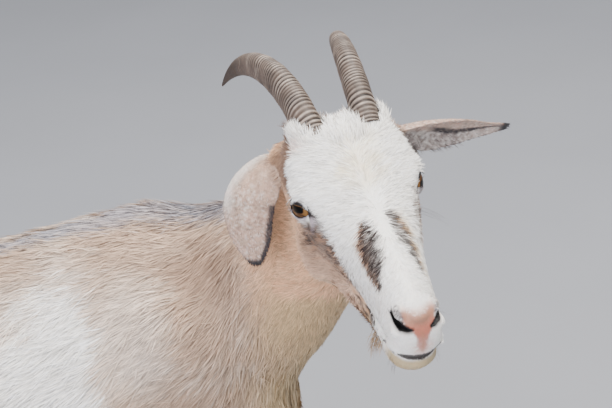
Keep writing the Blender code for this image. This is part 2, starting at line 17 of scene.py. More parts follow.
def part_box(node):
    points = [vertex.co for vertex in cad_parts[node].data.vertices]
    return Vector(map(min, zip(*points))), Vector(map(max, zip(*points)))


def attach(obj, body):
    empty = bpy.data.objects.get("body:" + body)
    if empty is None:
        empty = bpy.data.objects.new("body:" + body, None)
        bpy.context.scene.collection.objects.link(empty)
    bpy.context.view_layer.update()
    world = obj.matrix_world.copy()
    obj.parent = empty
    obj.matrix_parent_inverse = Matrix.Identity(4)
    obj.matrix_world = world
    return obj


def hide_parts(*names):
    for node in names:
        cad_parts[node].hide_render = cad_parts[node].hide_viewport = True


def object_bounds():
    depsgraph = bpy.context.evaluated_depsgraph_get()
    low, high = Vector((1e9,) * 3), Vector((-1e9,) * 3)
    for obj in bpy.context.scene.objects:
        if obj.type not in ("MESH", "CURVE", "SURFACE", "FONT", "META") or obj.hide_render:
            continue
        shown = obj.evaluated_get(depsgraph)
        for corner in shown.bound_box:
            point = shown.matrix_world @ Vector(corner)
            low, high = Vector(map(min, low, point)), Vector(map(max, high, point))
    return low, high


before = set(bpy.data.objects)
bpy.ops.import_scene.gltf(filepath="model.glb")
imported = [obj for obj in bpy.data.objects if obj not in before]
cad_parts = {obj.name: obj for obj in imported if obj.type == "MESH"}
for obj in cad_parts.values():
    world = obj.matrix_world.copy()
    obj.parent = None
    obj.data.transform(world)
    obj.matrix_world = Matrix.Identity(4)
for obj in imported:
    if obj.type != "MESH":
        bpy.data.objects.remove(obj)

bl_info = {
    "name": "Goat looks",
    "version": (1, 0, 0),
    "blender": (4, 5, 0),
    "location": "View3D > Sidebar > Goat",
    "description": "Skin, coat, horns, eyes and hooves for the standing goat",
    "category": "Object",
}

CAD_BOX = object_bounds()
LEFT, RIGHT = 1, -1
LEGS = ("front_left", "front_right", "hind_left", "hind_right")
FLESH = ["head", "neck", "trunk", "tail"] + ["leg_" + leg for leg in LEGS]
REGIONS = {"head": ["head"], "neck": ["neck"], "trunk": ["trunk"], "tail": ["tail"],
           "legs": ["leg_" + leg for leg in LEGS], "ear_left": ["ear_left"], "ear_right": ["ear_right"]}
MM = 0.001
BODY_VOXEL, HEAD_VOXEL, HOLLOW_VOXEL, HOOF_VOXEL = 0.005, 0.0016, 0.0006, 0.0013    # grain of each surface
DEWCLAW_MOUND = 0.0140

# ---- the head's own frame: forward, left and up from the middle between the eyes ---------------------
HEAD_TURN, HEAD_DROP, HEAD_TILT = math.radians(85), math.radians(16.6), math.radians(3.5)
HEAD_SPIN = (Euler((0, 0, -HEAD_TURN)).to_matrix() @ Euler((HEAD_DROP, 0, 0)).to_matrix()
             @ Euler((0, -HEAD_TILT, 0)).to_matrix())
EYE_RADIUS = 0.0145
EYE_FACING = Vector((0.32, 0.94, 0.10)).normalized()     # seat of the left eye: forward, left, up
EYE_LOOK = Vector((0.46, 0.86, 0.22)).normalized()       # where it looks


def crown(forward, left, up):
    """A direction or place of the head's frame, as its own x, y and z."""
    return Vector((left, -forward, up))


def middle(node):
    """The middle of a solid's box."""
    low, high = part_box(node)
    return (low + high) / 2


HEAD_MIDDLE = ((middle("eye_left") + middle("eye_right")) / 2
               + HEAD_SPIN @ crown(EYE_FACING.x * EYE_RADIUS, 0, EYE_FACING.z * EYE_RADIUS))
HEAD_FRAME = Matrix.Translation(HEAD_MIDDLE) @ HEAD_SPIN.to_4x4()
SPIN = np.array(HEAD_SPIN)
ORIGIN = np.array(HEAD_MIDDLE)


def to_head(points):
    """Rows of world places as forward, left and up in millimetres."""
    local = (points - ORIGIN) @ SPIN / MM
    return np.stack([-local[:, 1], local[:, 0], local[:, 2]], axis=1)


def turned_from_head(rows):
    """Rows of forward, left and up directions as world directions."""
    return np.stack([rows[:, 1], -rows[:, 0], rows[:, 2]], axis=1) @ SPIN.T


# ---- where things run on the body, in metres ---------------------------------------------------------
SPINE_X = 0.0986
NECK_LINE = np.array([          # middle of the neck, from inside the chest to the skull
    (0.0986, -0.156, 0.560), (0.0886, -0.222, 0.575), (0.0686, -0.268, 0.603), (0.0406, -0.299, 0.640),
    (0.0106, -0.320, 0.680), (-0.0194, -0.333, 0.718), (-0.0474, -0.341, 0.748)])
CREST_WAY = np.array((0.35, 0.30, 0.89))            # towards the crest, from the neck's middle
CREST_LINE = np.array([         # top of the back and neck, from the tail's root to the poll
    (0.0986, 0.400, 0.635), (0.0986, 0.340, 0.672), (0.0986, 0.200, 0.676), (0.0986, 0.060, 0.668),
    (0.0986, -0.080, 0.680), (0.0986, -0.190, 0.694), (0.094, -0.240, 0.698), (0.078, -0.278, 0.706),
    (0.044, -0.300, 0.735), (0.006, -0.318, 0.772), (-0.030, -0.335, 0.800)])
CREST_WIDTH = np.array([0.007, 0.009, 0.009, 0.009, 0.011, 0.019, 0.027, 0.030, 0.022, 0.014, 0.009])
NECK_CUT = np.array((0.0306, -0.306, 0.653))        # where the head's fine skin meets the body's
NECK_AXIS = np.array((-0.555, -0.388, 0.736))
NECK_GAP = 0.003                                    # left on either side of the cut, and bridged

# Along each ear: forward, left, up, half width and cup, then where its back looks, in the head's frame.
EARS = {
    "ear_left": (
        [(-58, 40, 9, 14), (-60, 62, 8, 20.5), (-62, 86, 2, 22.5), (-61, 110, -3.5, 18.5),
         (-59, 132, -9.5, 11.5), (-55, 155, -13, 4.5)],
        [(-0.80, 0.05, 0.60), (-0.92, 0.02, 0.38), (-0.94, 0.00, 0.34), (-0.90, 0.00, 0.45)]),
    "ear_right": (
        [(-60, -40, 4, 13), (-64, -62, -4, 20), (-61, -80, -26, 24), (-54, -85, -48, 22.5),
         (-47, -84, -70, 16.5), (-42, -83, -88.5, 5)],
        [(0.05, -0.25, 0.95), (0.45, -0.55, 0.70), (0.80, -0.58, 0.15), (0.82, -0.55, 0.05)]),
}


# ---- colours -----------------------------------------------------------------------------------------
def paint(code):
    """An sRGB hex colour as linear light."""
    parts = [int(code[i:i + 2], 16) / 255 for i in (1, 3, 5)]
    return np.array([p / 12.92 if p <= 0.04045 else ((p + 0.055) / 1.055) ** 2.4 for p in parts])


def rgba(code):
    """The same with an alpha of 1, as sockets take it."""
    return (*paint(code), 1.0)


WHITE, CREAM, PINK_SKIN = paint("#FBF8F2"), paint("#F0E2C4"), paint("#E6C4B6")
RUST, STRIPE, CHEEK, TAN = paint("#AE7F5A"), paint("#2B201E"), paint("#705F56"), paint("#D8B499")
APRICOT, THROAT, LAVENDER, LID = paint("#E3B68F"), paint("#C8AE82"), paint("#AC9EA6"), paint("#1A1415")
# The dark of the lips also paints the shade in the crease of the mouth.
NOSE_PINK, WING, LIP_AND_MOUTH_SHADE, CHIN = paint("#B8705C"), paint("#4E484C"), paint("#241B17"), paint("#C0AA80")
FAWN, FAWN_DARK, FAWN_LIGHT = paint("#C2A790"), paint("#9F836D"), paint("#E3D7CA")
# The grey of the dorsal stripe is partly a real stripe, partly painted rim light along the skyline.
DORSAL_AND_RIM_LIGHT, FLANK, SOCK = paint("#969AA8"), paint("#FAF7F1"), paint("#E0D2BF")
VELVET, VELVET_PINK, MARGIN = paint("#B99E8B"), paint("#D2AD99"), paint("#1E2027")
# The grey of the ears' hair also serves as painted shade inside the ear's cup.
# The near-black of the nostrils is painted shade inside their hollows.
EAR_HAIR_AND_SHADE, NOSTRIL_SHADE, NOSE_TAN = paint("#8A807B"), paint("#0B0809"), paint("#A9826B")
BEARD, WHISKER, TEMPLE = paint("#B4926A"), paint("#3C3434"), paint("#7C5F4C")
# Horn colours: the base, the painted highlight of the ridges, the painted shade of the grooves, then the
# darker tip.
HORN_BASE, HORN_HIGHLIGHT, HORN_GROOVE_SHADE = paint("#574940"), paint("#A3968A"), paint("#1F1814")
HORN_TIP = paint("#33261D")


# ---- numbers over many points at once ----------------------------------------------------------------
def ramp(value, low, high):
    """0 below low and 1 above high, smoothly."""
    t = np.clip((value - low) / (high - low), 0, 1)
    return t * t * (3 - 2 * t)


def mix(base, over, share):
    """Rows of colour going from base to over."""
    return base + (over - base) * share[:, None]


def mixed(base, over, share):
    """The same for plain numbers."""
    return base + (over - base) * share


def all_of(colour, points):
    """One colour, or one way, for every place."""
    return np.tile(colour, (len(points), 1))


def noise(points, lump, seed):
    """Smooth noise from -1 to 1 with lumps of that size."""
    place = points / lump + seed * 17.31
    cell = np.floor(place).astype(np.int64)
    part = place - cell
    part = part * part * (3 - 2 * part)
    total = np.zeros(len(points))
    for corner in range(8):
        offset = np.array([corner & 1, corner >> 1 & 1, corner >> 2 & 1])
        key = (cell + offset) @ np.array([73856093, 19349663, 83492791]) + seed * 7919
        key = (key ^ (key >> 13)) * 1274126177
        height = ((key ^ (key >> 16)) & 0xffff) / 32767.5 - 1
        total += height * np.where(offset, part, 1 - part).prod(axis=1)
    return total


def slope(points, lump, seed):
    """The direction in which that noise rises, about 1 long."""
    step = lump * 0.35
    return np.stack([noise(points + step * axis, lump, seed) - noise(points - step * axis, lump, seed)
                     for axis in np.eye(3)], axis=1)


def unit(rows):
    """Rows made 1 long."""
    return rows / np.maximum(np.linalg.norm(rows, axis=1, keepdims=True), 1e-9)


def across_from(rows, axis):
    """What is left of each row beside an axis that is 1 long."""
    return rows - axis * (rows * axis).sum(axis=1)[:, None]


def along_line(points, line):
    """Each point's distance to a broken line, and its place along it, counted in segments."""
    line = np.asarray(line, float)
    distance = np.full(len(points), 1e9)
    place = np.zeros(len(points))
    for i, (start, end) in enumerate(zip(line[:-1], line[1:])):
        span = end - start
        share = np.clip((points - start) @ span / (span @ span), 0, 1)
        gap = np.linalg.norm(points - start - share[:, None] * span, axis=1)
        nearer = gap < distance
        distance[nearer] = gap[nearer]
        place[nearer] = (i + share)[nearer]
    return distance, place


def along_values(place, values):
    """A value for each place along a line, between those given at its points."""
    return np.interp(place, np.arange(len(values)), values)


def left_of(points, line):
    """Distance to a broken line in a plane, positive on its left."""
    line = np.asarray(line, float)
    distance, place = along_line(points, line)
    index = np.minimum(place.astype(int), len(line) - 2)
    start, span = line[index], line[index + 1] - line[index]
    turn = span[:, 0] * (points[:, 1] - start[:, 1]) - span[:, 1] * (points[:, 0] - start[:, 0])
    return distance * np.sign(turn)


def blob(points, centre, radii):
    """1 at the middle of an ellipsoid, falling to 0 at its surface."""
    reach = np.linalg.norm((points - np.array(centre)) / np.array(radii), axis=1)
    return 1 - ramp(reach, 0.35, 1.0)


# ---- parts of the face, in millimetres of the head's frame -------------------------------------------
# The edge of the white face seen from the side: forward and up, from behind the poll to under the mouth.
WHITE_EDGE = [(-80, 90), (-76, 48), (-62, 37), (-40, 27), (-29, 8), (-24, -5), (-14, -20), (2, -19),
              (12, -10), (22, -5), (34, -7), (46, -14), (56, -23), (66, -32), (73, -42), (78, -52), (84, -64),
              (88, -100)]
STRIPES = {
    RIGHT: ([(51, -15, 17), (61, -18, 12), (74, -19.5, 6), (89, -19.5, 0), (100, -19.5, -4)],
            [3.5, 8, 9.5, 8, 3.5]),
    LEFT: ([(48, 12, 20), (58, 13, 16.5), (72, 15.5, 11), (87, 16, 7), (104, 16.5, 3)], [3.5, 5, 5, 4, 2]),
}
EYE_STRIPE = [(18, 40, 12), (28, 37, 10), (37, 34.5, 7.5), (47, 32.5, 2.5), (58, 31, -4)]   # before the left
CREAM_LINE = [(50, 17, 17), (66, 20, 10), (84, 21, 4), (104, 20, 0)]         # beside the left stripe
TEAR_LINE = [(12, 46, 4), (20, 43, 4.5), (27, 40.5, 2.5), (33, 39, -3)]      # from the eye's front corner
WING_LINE = [(0, 20.5, -8), (0, 16, -4.5), (0, 12.5, -7)]                    # over the nostril
NOSTRIL = [(125, 21.0, -9.5, 1.4), (129.5, 19.8, -11, 2.4), (133.5, 18.2, -12.8, 3.0), (137, 15.3, -15, 2.8),
           (139.5, 11.5, -16.3, 1.5), (141.0, 8.5, -17, 0.6)]         # forward, left, up, half opening
NOSTRIL_OUT = (0.85, 0.35, -0.10)       # the way the left one opens
MOUTH = [(76, 22, -51), (86, 22.5, -55), (98, 22, -55), (110, 21.5, -52), (122, 20, -47.5), (131, 17, -45.5),
         (138, 11, -46), (141.5, 5, -47.3), (142.5, 0, -48)]
MOUTH_LINE = np.array(MOUTH + [(f, -l, u) for f, l, u in MOUTH[-2::-1]])
EYE_OPENING = (9.8, 4.9, 4.3)          # half length, rise and fall of the lids
EYE_SLANT = math.radians(18)            # front corner up
HORN_ROOT = (-56, 26, 40)


def eye_axes(side):
    """The eye's middle and its axes, forwards, upwards and outwards, in millimetres of the head's frame."""
    centre = to_head(np.array([middle("eye_left" if side == LEFT else "eye_right")]))[0]
    out = np.array([EYE_LOOK.x, side * EYE_LOOK.y, EYE_LOOK.z])
    ahead = np.array([math.cos(EYE_SLANT), 0, math.sin(EYE_SLANT)])
    ahead = ahead - out * (ahead @ out)
    ahead /= np.linalg.norm(ahead)
    up = np.cross(ahead, out) * -side
    up = up if up[2] > 0 else -up
    return centre, ahead, up, out


def eye_reach(head_points, side):
    """How far out from the middle of the eye's opening, 1 at the lid's edge, and how far up from it."""
    centre, ahead, up, out = eye_axes(side)
    offset = head_points - centre
    x, y, z = offset @ ahead, offset @ up, offset @ out
    half, rise, fall = EYE_OPENING
    bend = np.clip(1 - (x / (half * 1.12)) ** 2, 0.05, 1)
    reach = np.maximum(np.abs(x) / half, np.abs(y) / (np.where(y > 0, rise, fall) * bend))
    reach = np.where(np.abs(x) > half, np.abs(x) / half + np.abs(y) / 12, reach)
    return np.where(z > 0, reach, 9.0), y


def mirrored(rows, side):
    """Rows that start forward and left, as they are on that side of the head."""
    return np.array([(row[0], side * row[1], *row[2:]) for row in rows], float)


def nostril_reach(h, side):
    """How far each place is from the nostril's opening or the hollow behind it, in its half openings."""
    rows = mirrored(NOSTRIL, side)
    out = mirrored([NOSTRIL_OUT], side)[0]
    out /= np.linalg.norm(out)
    line = rows[:, :3]
    gap, place_on = along_line(h - out * (h @ out)[:, None], line - out * (line @ out)[:, None])
    depth = h @ out - along_values(place_on, line @ out)
    half = along_values(place_on, rows[:, 3])
    return np.where((depth > -3 - 3.2 * half) & (depth < 6), gap - half, 99.0)


def leather(h):
    """1 on the bare pink nose, between the nostrils and down to the lip."""
    f, l, u = h.T
    half = np.interp(-u, [-4, 2, 6, 10, 14, 18, 24, 33, 41], [11, 12.5, 13, 12.5, 11, 8, 5.0, 4.0, 2.5])
    half = half + 1.4 * noise(h, 3, 15)
    return ramp(half - np.abs(l), -1.2, 1.6) * ramp(f, 121, 127) * ramp(u, -43, -34) * (1 - ramp(u, -7, -1))


def ear_place(h, ear):
    """Place along an ear, 0 to 1, and across it, -1 to 1, and the ways along, across and out of its back."""
    rows, backs = EARS[ear]
    rows, backs = np.array(rows, float), np.array(backs, float)
    _, place = along_line(h, rows[:, :3])
    count = len(rows) - 1
    centre = np.stack([np.interp(place, np.arange(count + 1), rows[:, k]) for k in range(3)], axis=1)
    half = along_values(place, rows[:, 3])
    index = np.minimum(place.astype(int), count - 1)
    along = unit(rows[index + 1, :3] - rows[index, :3])
    back = np.stack([np.interp(place * (len(backs) - 1) / count, np.arange(len(backs)), backs[:, k])
                     for k in range(3)], axis=1)
    back = unit(across_from(back, along))
    across = np.cross(along, back)
    offset = h - centre
    return place / count, (offset * across).sum(axis=1) / half, along, across, back


# ---- markings ----------------------------------------------------------------------------------------
def dabs(points, colour, over, *spots):
    """Soft round dabs of one colour, each a centre, radii and strength."""
    for centre, radii, strength in spots:
        colour = mix(colour, over, blob(points, centre, radii) * strength)
    return colour


def cheek_colour(h):
    """The tan side of the head, brown at the temple and pale at the throat and chin."""
    f, _, u = h.T
    cheek = mix(all_of(TAN, h), APRICOT, ramp(-f, -10, 45))
    flat = h * np.array((1, 0, 1))
    cheek = dabs(flat, cheek, TEMPLE, ((-50, 0, 8), (20, 1, 30), 0.8), ((16, 0, -46), (38, 1, 24), 0.40))
    cheek = mix(cheek, THROAT, 0.65 * ramp(-u, 62, 84) * ramp(f, -30, 40))
    return mix(cheek, CHIN, 0.6 * ramp(f, 56, 88))


def white_colour(h):
    """The white of the face, cream on the forehead and pink where the skin shows through."""
    cream = blob(h, (6, 0, 36), (24, 34, 24)) * (0.62 + 0.4 * noise(h, 6, 11))
    white = mix(all_of(WHITE, h), CREAM, np.clip(cream, 0, 1) * 0.9)
    white = dabs(h, white, CREAM, ((-20, 6, 40), (26, 26, 18), 0.40 + 0.3 * noise(h, 5, 47)))
    return dabs(h, white, PINK_SKIN, ((-40, -40, 30), (14, 16, 16), 0.35 + 0.35 * noise(h, 3, 13)),
                ((104, 0, -16), (34, 40, 22), 0.16), ((76, 0, -30), (30, 40, 26), 0.22))


def cheek_band(h, colour, edge):
    """The speckled brown band along the edge of the white, and the stray dark hairs before it."""
    f, l, u = h.T
    side = np.abs(l)
    band = ramp(edge, -38, -18) * (1 - ramp(edge, 0, 8)) * ramp(f, -26, -4) * (1 - ramp(f, 82, 104))
    band *= ramp(side, 12, 18)
    patch = band * (1 - ramp(f, 30, 58)) * ramp(edge, -30, -14)
    drawn = h * np.array((0.5, 1, 0.8))
    speckle = 0.5 + 0.5 * noise(drawn, 2.4, 5)
    colour = mix(colour, CHEEK, patch * 0.9)
    colour = mix(colour, RUST, band * ramp(noise(h, 4, 9), -0.1, 0.6) * 0.6)
    colour = mix(colour, STRIPE, band * ramp(speckle, 0.50 - 0.14 * patch, 0.74) * 0.9)
    behind = ramp(edge, -17, -9) * (1 - ramp(edge, -1, 3)) * ramp(-f, 14, 24) * ramp(u, -14, -2)
    colour = mix(colour, TEMPLE, behind * 0.95)
    stray = ramp(f, 40, 60) * ramp(side, 12, 18) * (1 - ramp(f, 100, 116)) * (1 - ramp(edge, 8, 20))
    return mix(colour, CHEEK, stray * ramp(noise(drawn, 2.0, 17), 0.15, 0.6) * 0.75)


def nose_stripes(h, colour):
    """A dark stripe on either side of the bridge of the nose, rusty on its outer edge."""
    for side, (line, widths) in STRIPES.items():
        gap, place_on = along_line(h, line)
        half = along_values(place_on, widths) * (1 + 0.22 * noise(h, 4, 21))
        outwards = (h[:, 1] - along_values(place_on, [row[1] for row in line])) * side / half
        strands = noise(h * np.array((1.2, 0.5, 0.5)), 1.6, 23)
        colour = mix(colour, RUST, (1 - ramp(gap, half * 0.7, half * 1.15)) * ramp(outwards, -0.7, 0.3) * 0.9)
        core = (1 - ramp(gap / half + 0.45 * outwards, 0.60, 1.10)) * (0.95 + 0.6 * strands)
        colour = mix(colour, STRIPE, np.clip(core, 0, 1) * (1.0 if side == RIGHT else 0.92))
    return colour


def eye_marks(h, colour, side):
    """The grey pad, the dark lids with their tear line, and the grey wing of the nostril, of one side."""
    reach, y = eye_reach(h, side)
    colour = mix(colour, LAVENDER, (1 - ramp(reach, 1.9, 2.8)) * 0.85 * ramp(-y, -2, 4))
    colour = mix(colour, WING, (1 - ramp(reach, 1.25, 2.1)) * 0.60 * ramp(y, 0, 5))
    gap, place_on = along_line(h, mirrored(TEAR_LINE, side))
    colour = mix(colour, STRIPE, (1 - ramp(gap, 1.8, 4.2)) * (0.95 - 0.20 * place_on))
    colour = mix(colour, LID, 1 - ramp(reach, np.where(y > 0, 1.50, 1.34), np.where(y > 0, 1.95, 1.65)))
    gap, _ = along_line(h[:, 1:], mirrored(WING_LINE, side)[:, 1:])
    wing = (1 - ramp(gap, 1.5, 4.5)) * ramp(h[:, 0], 119, 125)
    return mix(colour, WING, np.clip(wing * (0.70 + 0.45 * noise(h, 1.8, 27)), 0, 1))


def muzzle_marks(h, colour):
    """The chin, the rims of the nostrils, the pink of the nose and the line of the mouth."""
    f, l, u = h.T
    colour = mix(colour, CHIN, ramp(f, 104, 124) * ramp(-u, 50, 56) * 0.95)
    rim = (1 - ramp(np.minimum(nostril_reach(h, LEFT), nostril_reach(h, RIGHT)), 1.0, 4.0)) * ramp(-u, 12, 16)
    colour = mix(colour, CHEEK, rim * 0.55)
    colour = mix(colour, NOSE_PINK, leather(h) * 0.6)
    colour = dabs(h, colour, PINK_SKIN, ((140, 0, -36), (16, 13, 13), 0.6 + 0.5 * noise(h, 1.6, 25)))
    # The line of the mouth: dark lip skin, and painted shade in the crease between the lips.
    gap, _ = along_line(h, MOUTH_LINE)
    front = ramp(-np.abs(l), -21.5, -16)
    half = 2.1 + 2.3 * front * (1 + 0.5 * noise(h * np.array((0.2, 1, 0.2)), 1.1, 29))
    return mix(colour, LIP_AND_MOUTH_SHADE, (1 - ramp(gap, half, half + 1.1)) * (0.92 + 0.03 * front))


def face_colour(h):
    """Colour of the head's coat from places in its frame."""
    f, l, u = h.T
    lump = noise(h, 7, 3)
    edge = left_of(np.stack([f, u], axis=1), WHITE_EDGE) + 2.2 * lump
    edge = edge - 7 * ramp(l, 10, 20) * ramp(f, 10, 30) * (1 - ramp(f, 85, 105))
    colour = mix(cheek_colour(h), white_colour(h), ramp(edge, -3.0, 2.5))
    colour = nose_stripes(h, cheek_band(h, colour, edge))
    gap, _ = along_line(h, EYE_STRIPE)
    colour = mix(colour, CHEEK, np.clip((1 - ramp(gap, 1.0, 4.5)) * (0.75 + 0.5 * noise(h, 2, 45)), 0, 1))
    gap, _ = along_line(h, CREAM_LINE)
    colour = mix(colour, THROAT, (1 - ramp(gap, 1.5, 5.5)) * (0.55 + 0.3 * lump))
    for side in (LEFT, RIGHT):
        colour = eye_marks(h, colour, side)
    return muzzle_marks(h, colour)


def bare_colour(h, colour):
    """The leather of the nose and near-black painted shade inside the nostrils, for the skin alone."""
    pink = mix(all_of(NOSE_PINK, h), NOSE_TAN, ramp(h[:, 2] + 2 * noise(h, 4, 19), -16, -8) * 0.8)
    colour = mix(colour, pink, leather(h) * (1 - 0.35 * ramp(-h[:, 2], 20, 30)))
    groove = (1 - ramp(np.abs(h[:, 1]), 0.4, 1.3)) * ramp(h[:, 0], 132, 136) * ramp(-h[:, 2], 16, 21)
    colour = mix(colour, RUST, groove * (1 - ramp(-h[:, 2], 38, 43)) * 0.5)
    # Near-black painted shade in the hollow of each nostril.
    for side in (LEFT, RIGHT):
        colour = mix(colour, NOSTRIL_SHADE, 1 - ramp(nostril_reach(h, side), 0.6, 1.5))
    return colour


def neck_segment(points):
    """Each point's place along the neck, the number of its segment and the way that one runs."""
    _, place_on = along_line(points, NECK_LINE)
    index = np.minimum(place_on.astype(int), len(NECK_LINE) - 2)
    return place_on, index, NECK_LINE[index + 1] - NECK_LINE[index]


def neck_marks(points, normals, colour, coarse):
    """Apricot at the side and under the ear, cream at the throat and the front of the chest."""
    _, y, z = points.T
    place_on, index, span = neck_segment(points)
    axis = unit(span)
    out = unit(points - (NECK_LINE[index] + (place_on - index)[:, None] * span))
    high = (out * unit(CREST_WAY - axis * (axis @ CREST_WAY)[:, None])).sum(axis=1)
    on_neck = ramp(place_on, 1.2, 3.0) * ramp(-y, 0.235, 0.275)
    colour = mix(colour, APRICOT, on_neck * ramp(place_on, 1.4, 3.8) * (1 - 0.35 * ramp(high, 0.3, 0.9)))
    colour = mix(colour, THROAT, on_neck * ramp(-high + 0.12 * coarse, 0.0, 0.8) * 0.8)
    chest = ramp(-y, 0.215, 0.275) * (1 - ramp(z, 0.54, 0.62)) * ramp(-normals[:, 1], -0.1, 0.5)
    # Painted shade on the shoulder just behind the base of the neck, and painted light lower on the shoulder.
    colour = dabs(points, colour, FAWN_DARK, ((0.020, -0.215, 0.650), (0.05, 0.055, 0.06), 0.9))
    colour = dabs(points, colour, FAWN_LIGHT, ((0.0, -0.145, 0.610), (0.07, 0.05, 0.09), 0.6))
    return mix(colour, THROAT, chest * 0.85)


def flank_marks(points, normals, colour, ragged):
    """A white field whose front edge is upright behind the shoulder, then the white belly."""
    _, y, z = points.T
    top = np.interp(y, [-0.112, -0.03, 0.03, 0.12, 0.20], [0.660, 0.627, 0.602, 0.588, 0.560])
    flank = ramp(top - z + ragged, -0.010, 0.014) * ramp(y + ragged, -0.122, -0.098)
    flank *= 1 - ramp(y - 0.35 * (z - 0.45) + ragged, 0.165, 0.205)
    fringe = ramp(top - z + ragged, -0.045, 0.0) * ramp(y + ragged, -0.13, -0.09) * (1 - ramp(y, 0.19, 0.27))
    colour = mix(colour, FAWN_LIGHT, fringe * 0.5)
    colour = mix(colour, FLANK, flank)
    belly = ramp(-normals[:, 2], 0.25, 0.8) * ramp(z, 0.30, 0.34) * (1 - ramp(z, 0.50, 0.56))
    return mix(colour, FLANK, belly * ramp(y + ragged, -0.19, -0.12) * 0.9)


def leg_and_tail_marks(points, normals, colour, ragged):
    """Legs fawn above and paler below the knee and hock, the tail grey above and white beneath."""
    x, y, z = points.T
    below = 1 - ramp(z + 0.5 * ragged, 0.16, 0.30)
    colour = mix(colour, SOCK, below * 0.75)
    colour = mix(colour, FLANK, (1 - ramp(z + ragged, 0.06, 0.15)) * 0.6)
    shin = below * ramp(-normals[:, 1], 0.3, 0.9) * ramp(z, 0.09, 0.13)
    colour = mix(colour, FAWN_DARK, shin * 0.5)
    inside = ramp(np.sign(SPINE_X - x) * normals[:, 0], 0.2, 0.8) * (1 - ramp(z, 0.34, 0.40))
    colour = mix(colour, SOCK, inside * 0.6)
    thigh_back = ramp(normals[:, 1], 0.35, 0.85) * ramp(y, 0.22, 0.30) * ramp(z, 0.30, 0.40)
    colour = mix(colour, FAWN_LIGHT, thigh_back * 0.8)
    tail = ramp(y - 0.6 * (z - 0.62), 0.375, 0.40) * ramp(z, 0.58, 0.62)
    return mix(colour, FLANK, tail * ramp(normals[:, 1], -0.2, 0.5) * 0.95)


def body_colour(points, normals):
    """Colour of the coat of the neck, trunk, legs and tail from places in the world."""
    drawn = points * np.array((1, 0.4, 0.8))          # markings run on along the lie of the coat
    coarse, fine = noise(drawn, 0.055, 31), noise(drawn, 0.012, 33)
    ragged = 0.012 * noise(points, 0.030, 41) + 0.008 * noise(points, 0.011, 43)
    colour = mix(all_of(FAWN, points), FAWN_DARK, ramp(coarse + 0.6 * fine, -0.5, 1.1) * 0.75)
    colour = mix(colour, FAWN_LIGHT, ramp(noise(drawn, 0.010, 35) - 0.3 * coarse, 0.0, 0.9) * 0.40)
    colour = neck_marks(points, normals, colour, coarse)
    colour = flank_marks(points, normals, colour, ragged)
    gap, place_on = along_line(points, CREST_LINE)          # the grey stripe is broadest over the withers
    width = along_values(place_on, CREST_WIDTH) * (1 + 0.25 * fine)
    # The grey stripe along the crest: a real stripe, made paler as painted rim light on the skyline.
    colour = mix(colour, DORSAL_AND_RIM_LIGHT, (1 - ramp(gap, width * 0.7, width * 1.7)) * (0.75 + 0.25 * fine))
    return leg_and_tail_marks(points, normals, colour, ragged)


def ear_colour(h, ear, normals):
    """Flecked beige velvet, a grey-brown cup of hair whose grey is partly painted shade, and a blue-black
    line along the front margin; inside the left ear the velvet is a little lightened as painted light.
    """
    share, across, _, _, back = ear_place(h, ear)
    outer = ramp((turned_from_head(back) * normals).sum(axis=1), -0.25, 0.25)
    fleck = 0.5 + 0.5 * noise(h, 1.0, 51)
    velvet = mix(all_of(VELVET, h), VELVET_PINK, 0.5 + 0.5 * noise(h, 8, 53))
    velvet = mix(velvet, WHITE, ramp(fleck, 0.55, 0.85) * 0.50)
    velvet = mix(velvet, CHEEK, ramp(-fleck, -0.44, -0.15) * 0.70)
    velvet = mix(velvet, EAR_HAIR_AND_SHADE, (1 - ramp(share, 0.04, 0.20)) * 0.3)
    if ear == "ear_right":
        velvet = mix(velvet, TAN, (1 - ramp(share, 0.12, 0.46)) * 0.75)
        velvet = mix(velvet, CHEEK, (1 - ramp(share, 0.10, 0.40)) * (0.35 + 0.3 * noise(h, 3, 55)))
    spotted = 0.62 + 0.38 * ramp(fleck, 0.2, 0.5)
    if ear == "ear_right":
        velvet = mix(velvet, WHITE, ramp(across, 0.35, 0.95) * (1 - ramp(share, 0.45, 0.65)) * 0.6)
        # The inner side of the right ear: partly grey hair, partly painted shade in its cup.
        colour = mix(mix(velvet, EAR_HAIR_AND_SHADE, np.full(len(h), 0.6)), velvet, outer)
        inner = np.interp(share, [0.30, 0.45, 0.75, 1.0], [0.90, 0.76, 0.70, 0.60])
        line = ramp(-across - inner, 0.0, 0.13) * ramp(share, 0.28, 0.42)
    else:
        margin = np.interp(share, [0.30, 0.42, 0.60, 0.75, 0.90, 1.0],
                           [-0.05, -0.12, -0.36, -0.24, 0.10, 0.2])
        below = ramp(margin - across, 0.0, 0.2)
        # Below the left ear's margin, inside the cup: grey and white hair with painted shade.
        cup_hair_and_shade = mix(all_of(EAR_HAIR_AND_SHADE, h), WHITE, ramp(noise(h, 1.5, 57), -0.5, 0.5) * 0.75)
        # The inner side's velvet made a little lighter: painted light where it faces down.
        velvet = mix(velvet, WHITE, (1 - outer) * 0.12)
        colour = mix(velvet, cup_hair_and_shade, below * (1 - outer) * (0.80 - 0.3 * ramp(share, 0.6, 0.9)))
        line = (1 - ramp(np.abs(across - margin), 0.10, 0.19)) * ramp(share, 0.36, 0.46) * (1 - outer)
        line = np.maximum(line, ramp(-across, 0.85, 0.97) * ramp(share, 0.45, 0.6) * outer)
    return mix(colour, MARGIN, np.maximum(line * spotted, ramp(share, 0.91, 0.97)) * 0.96)


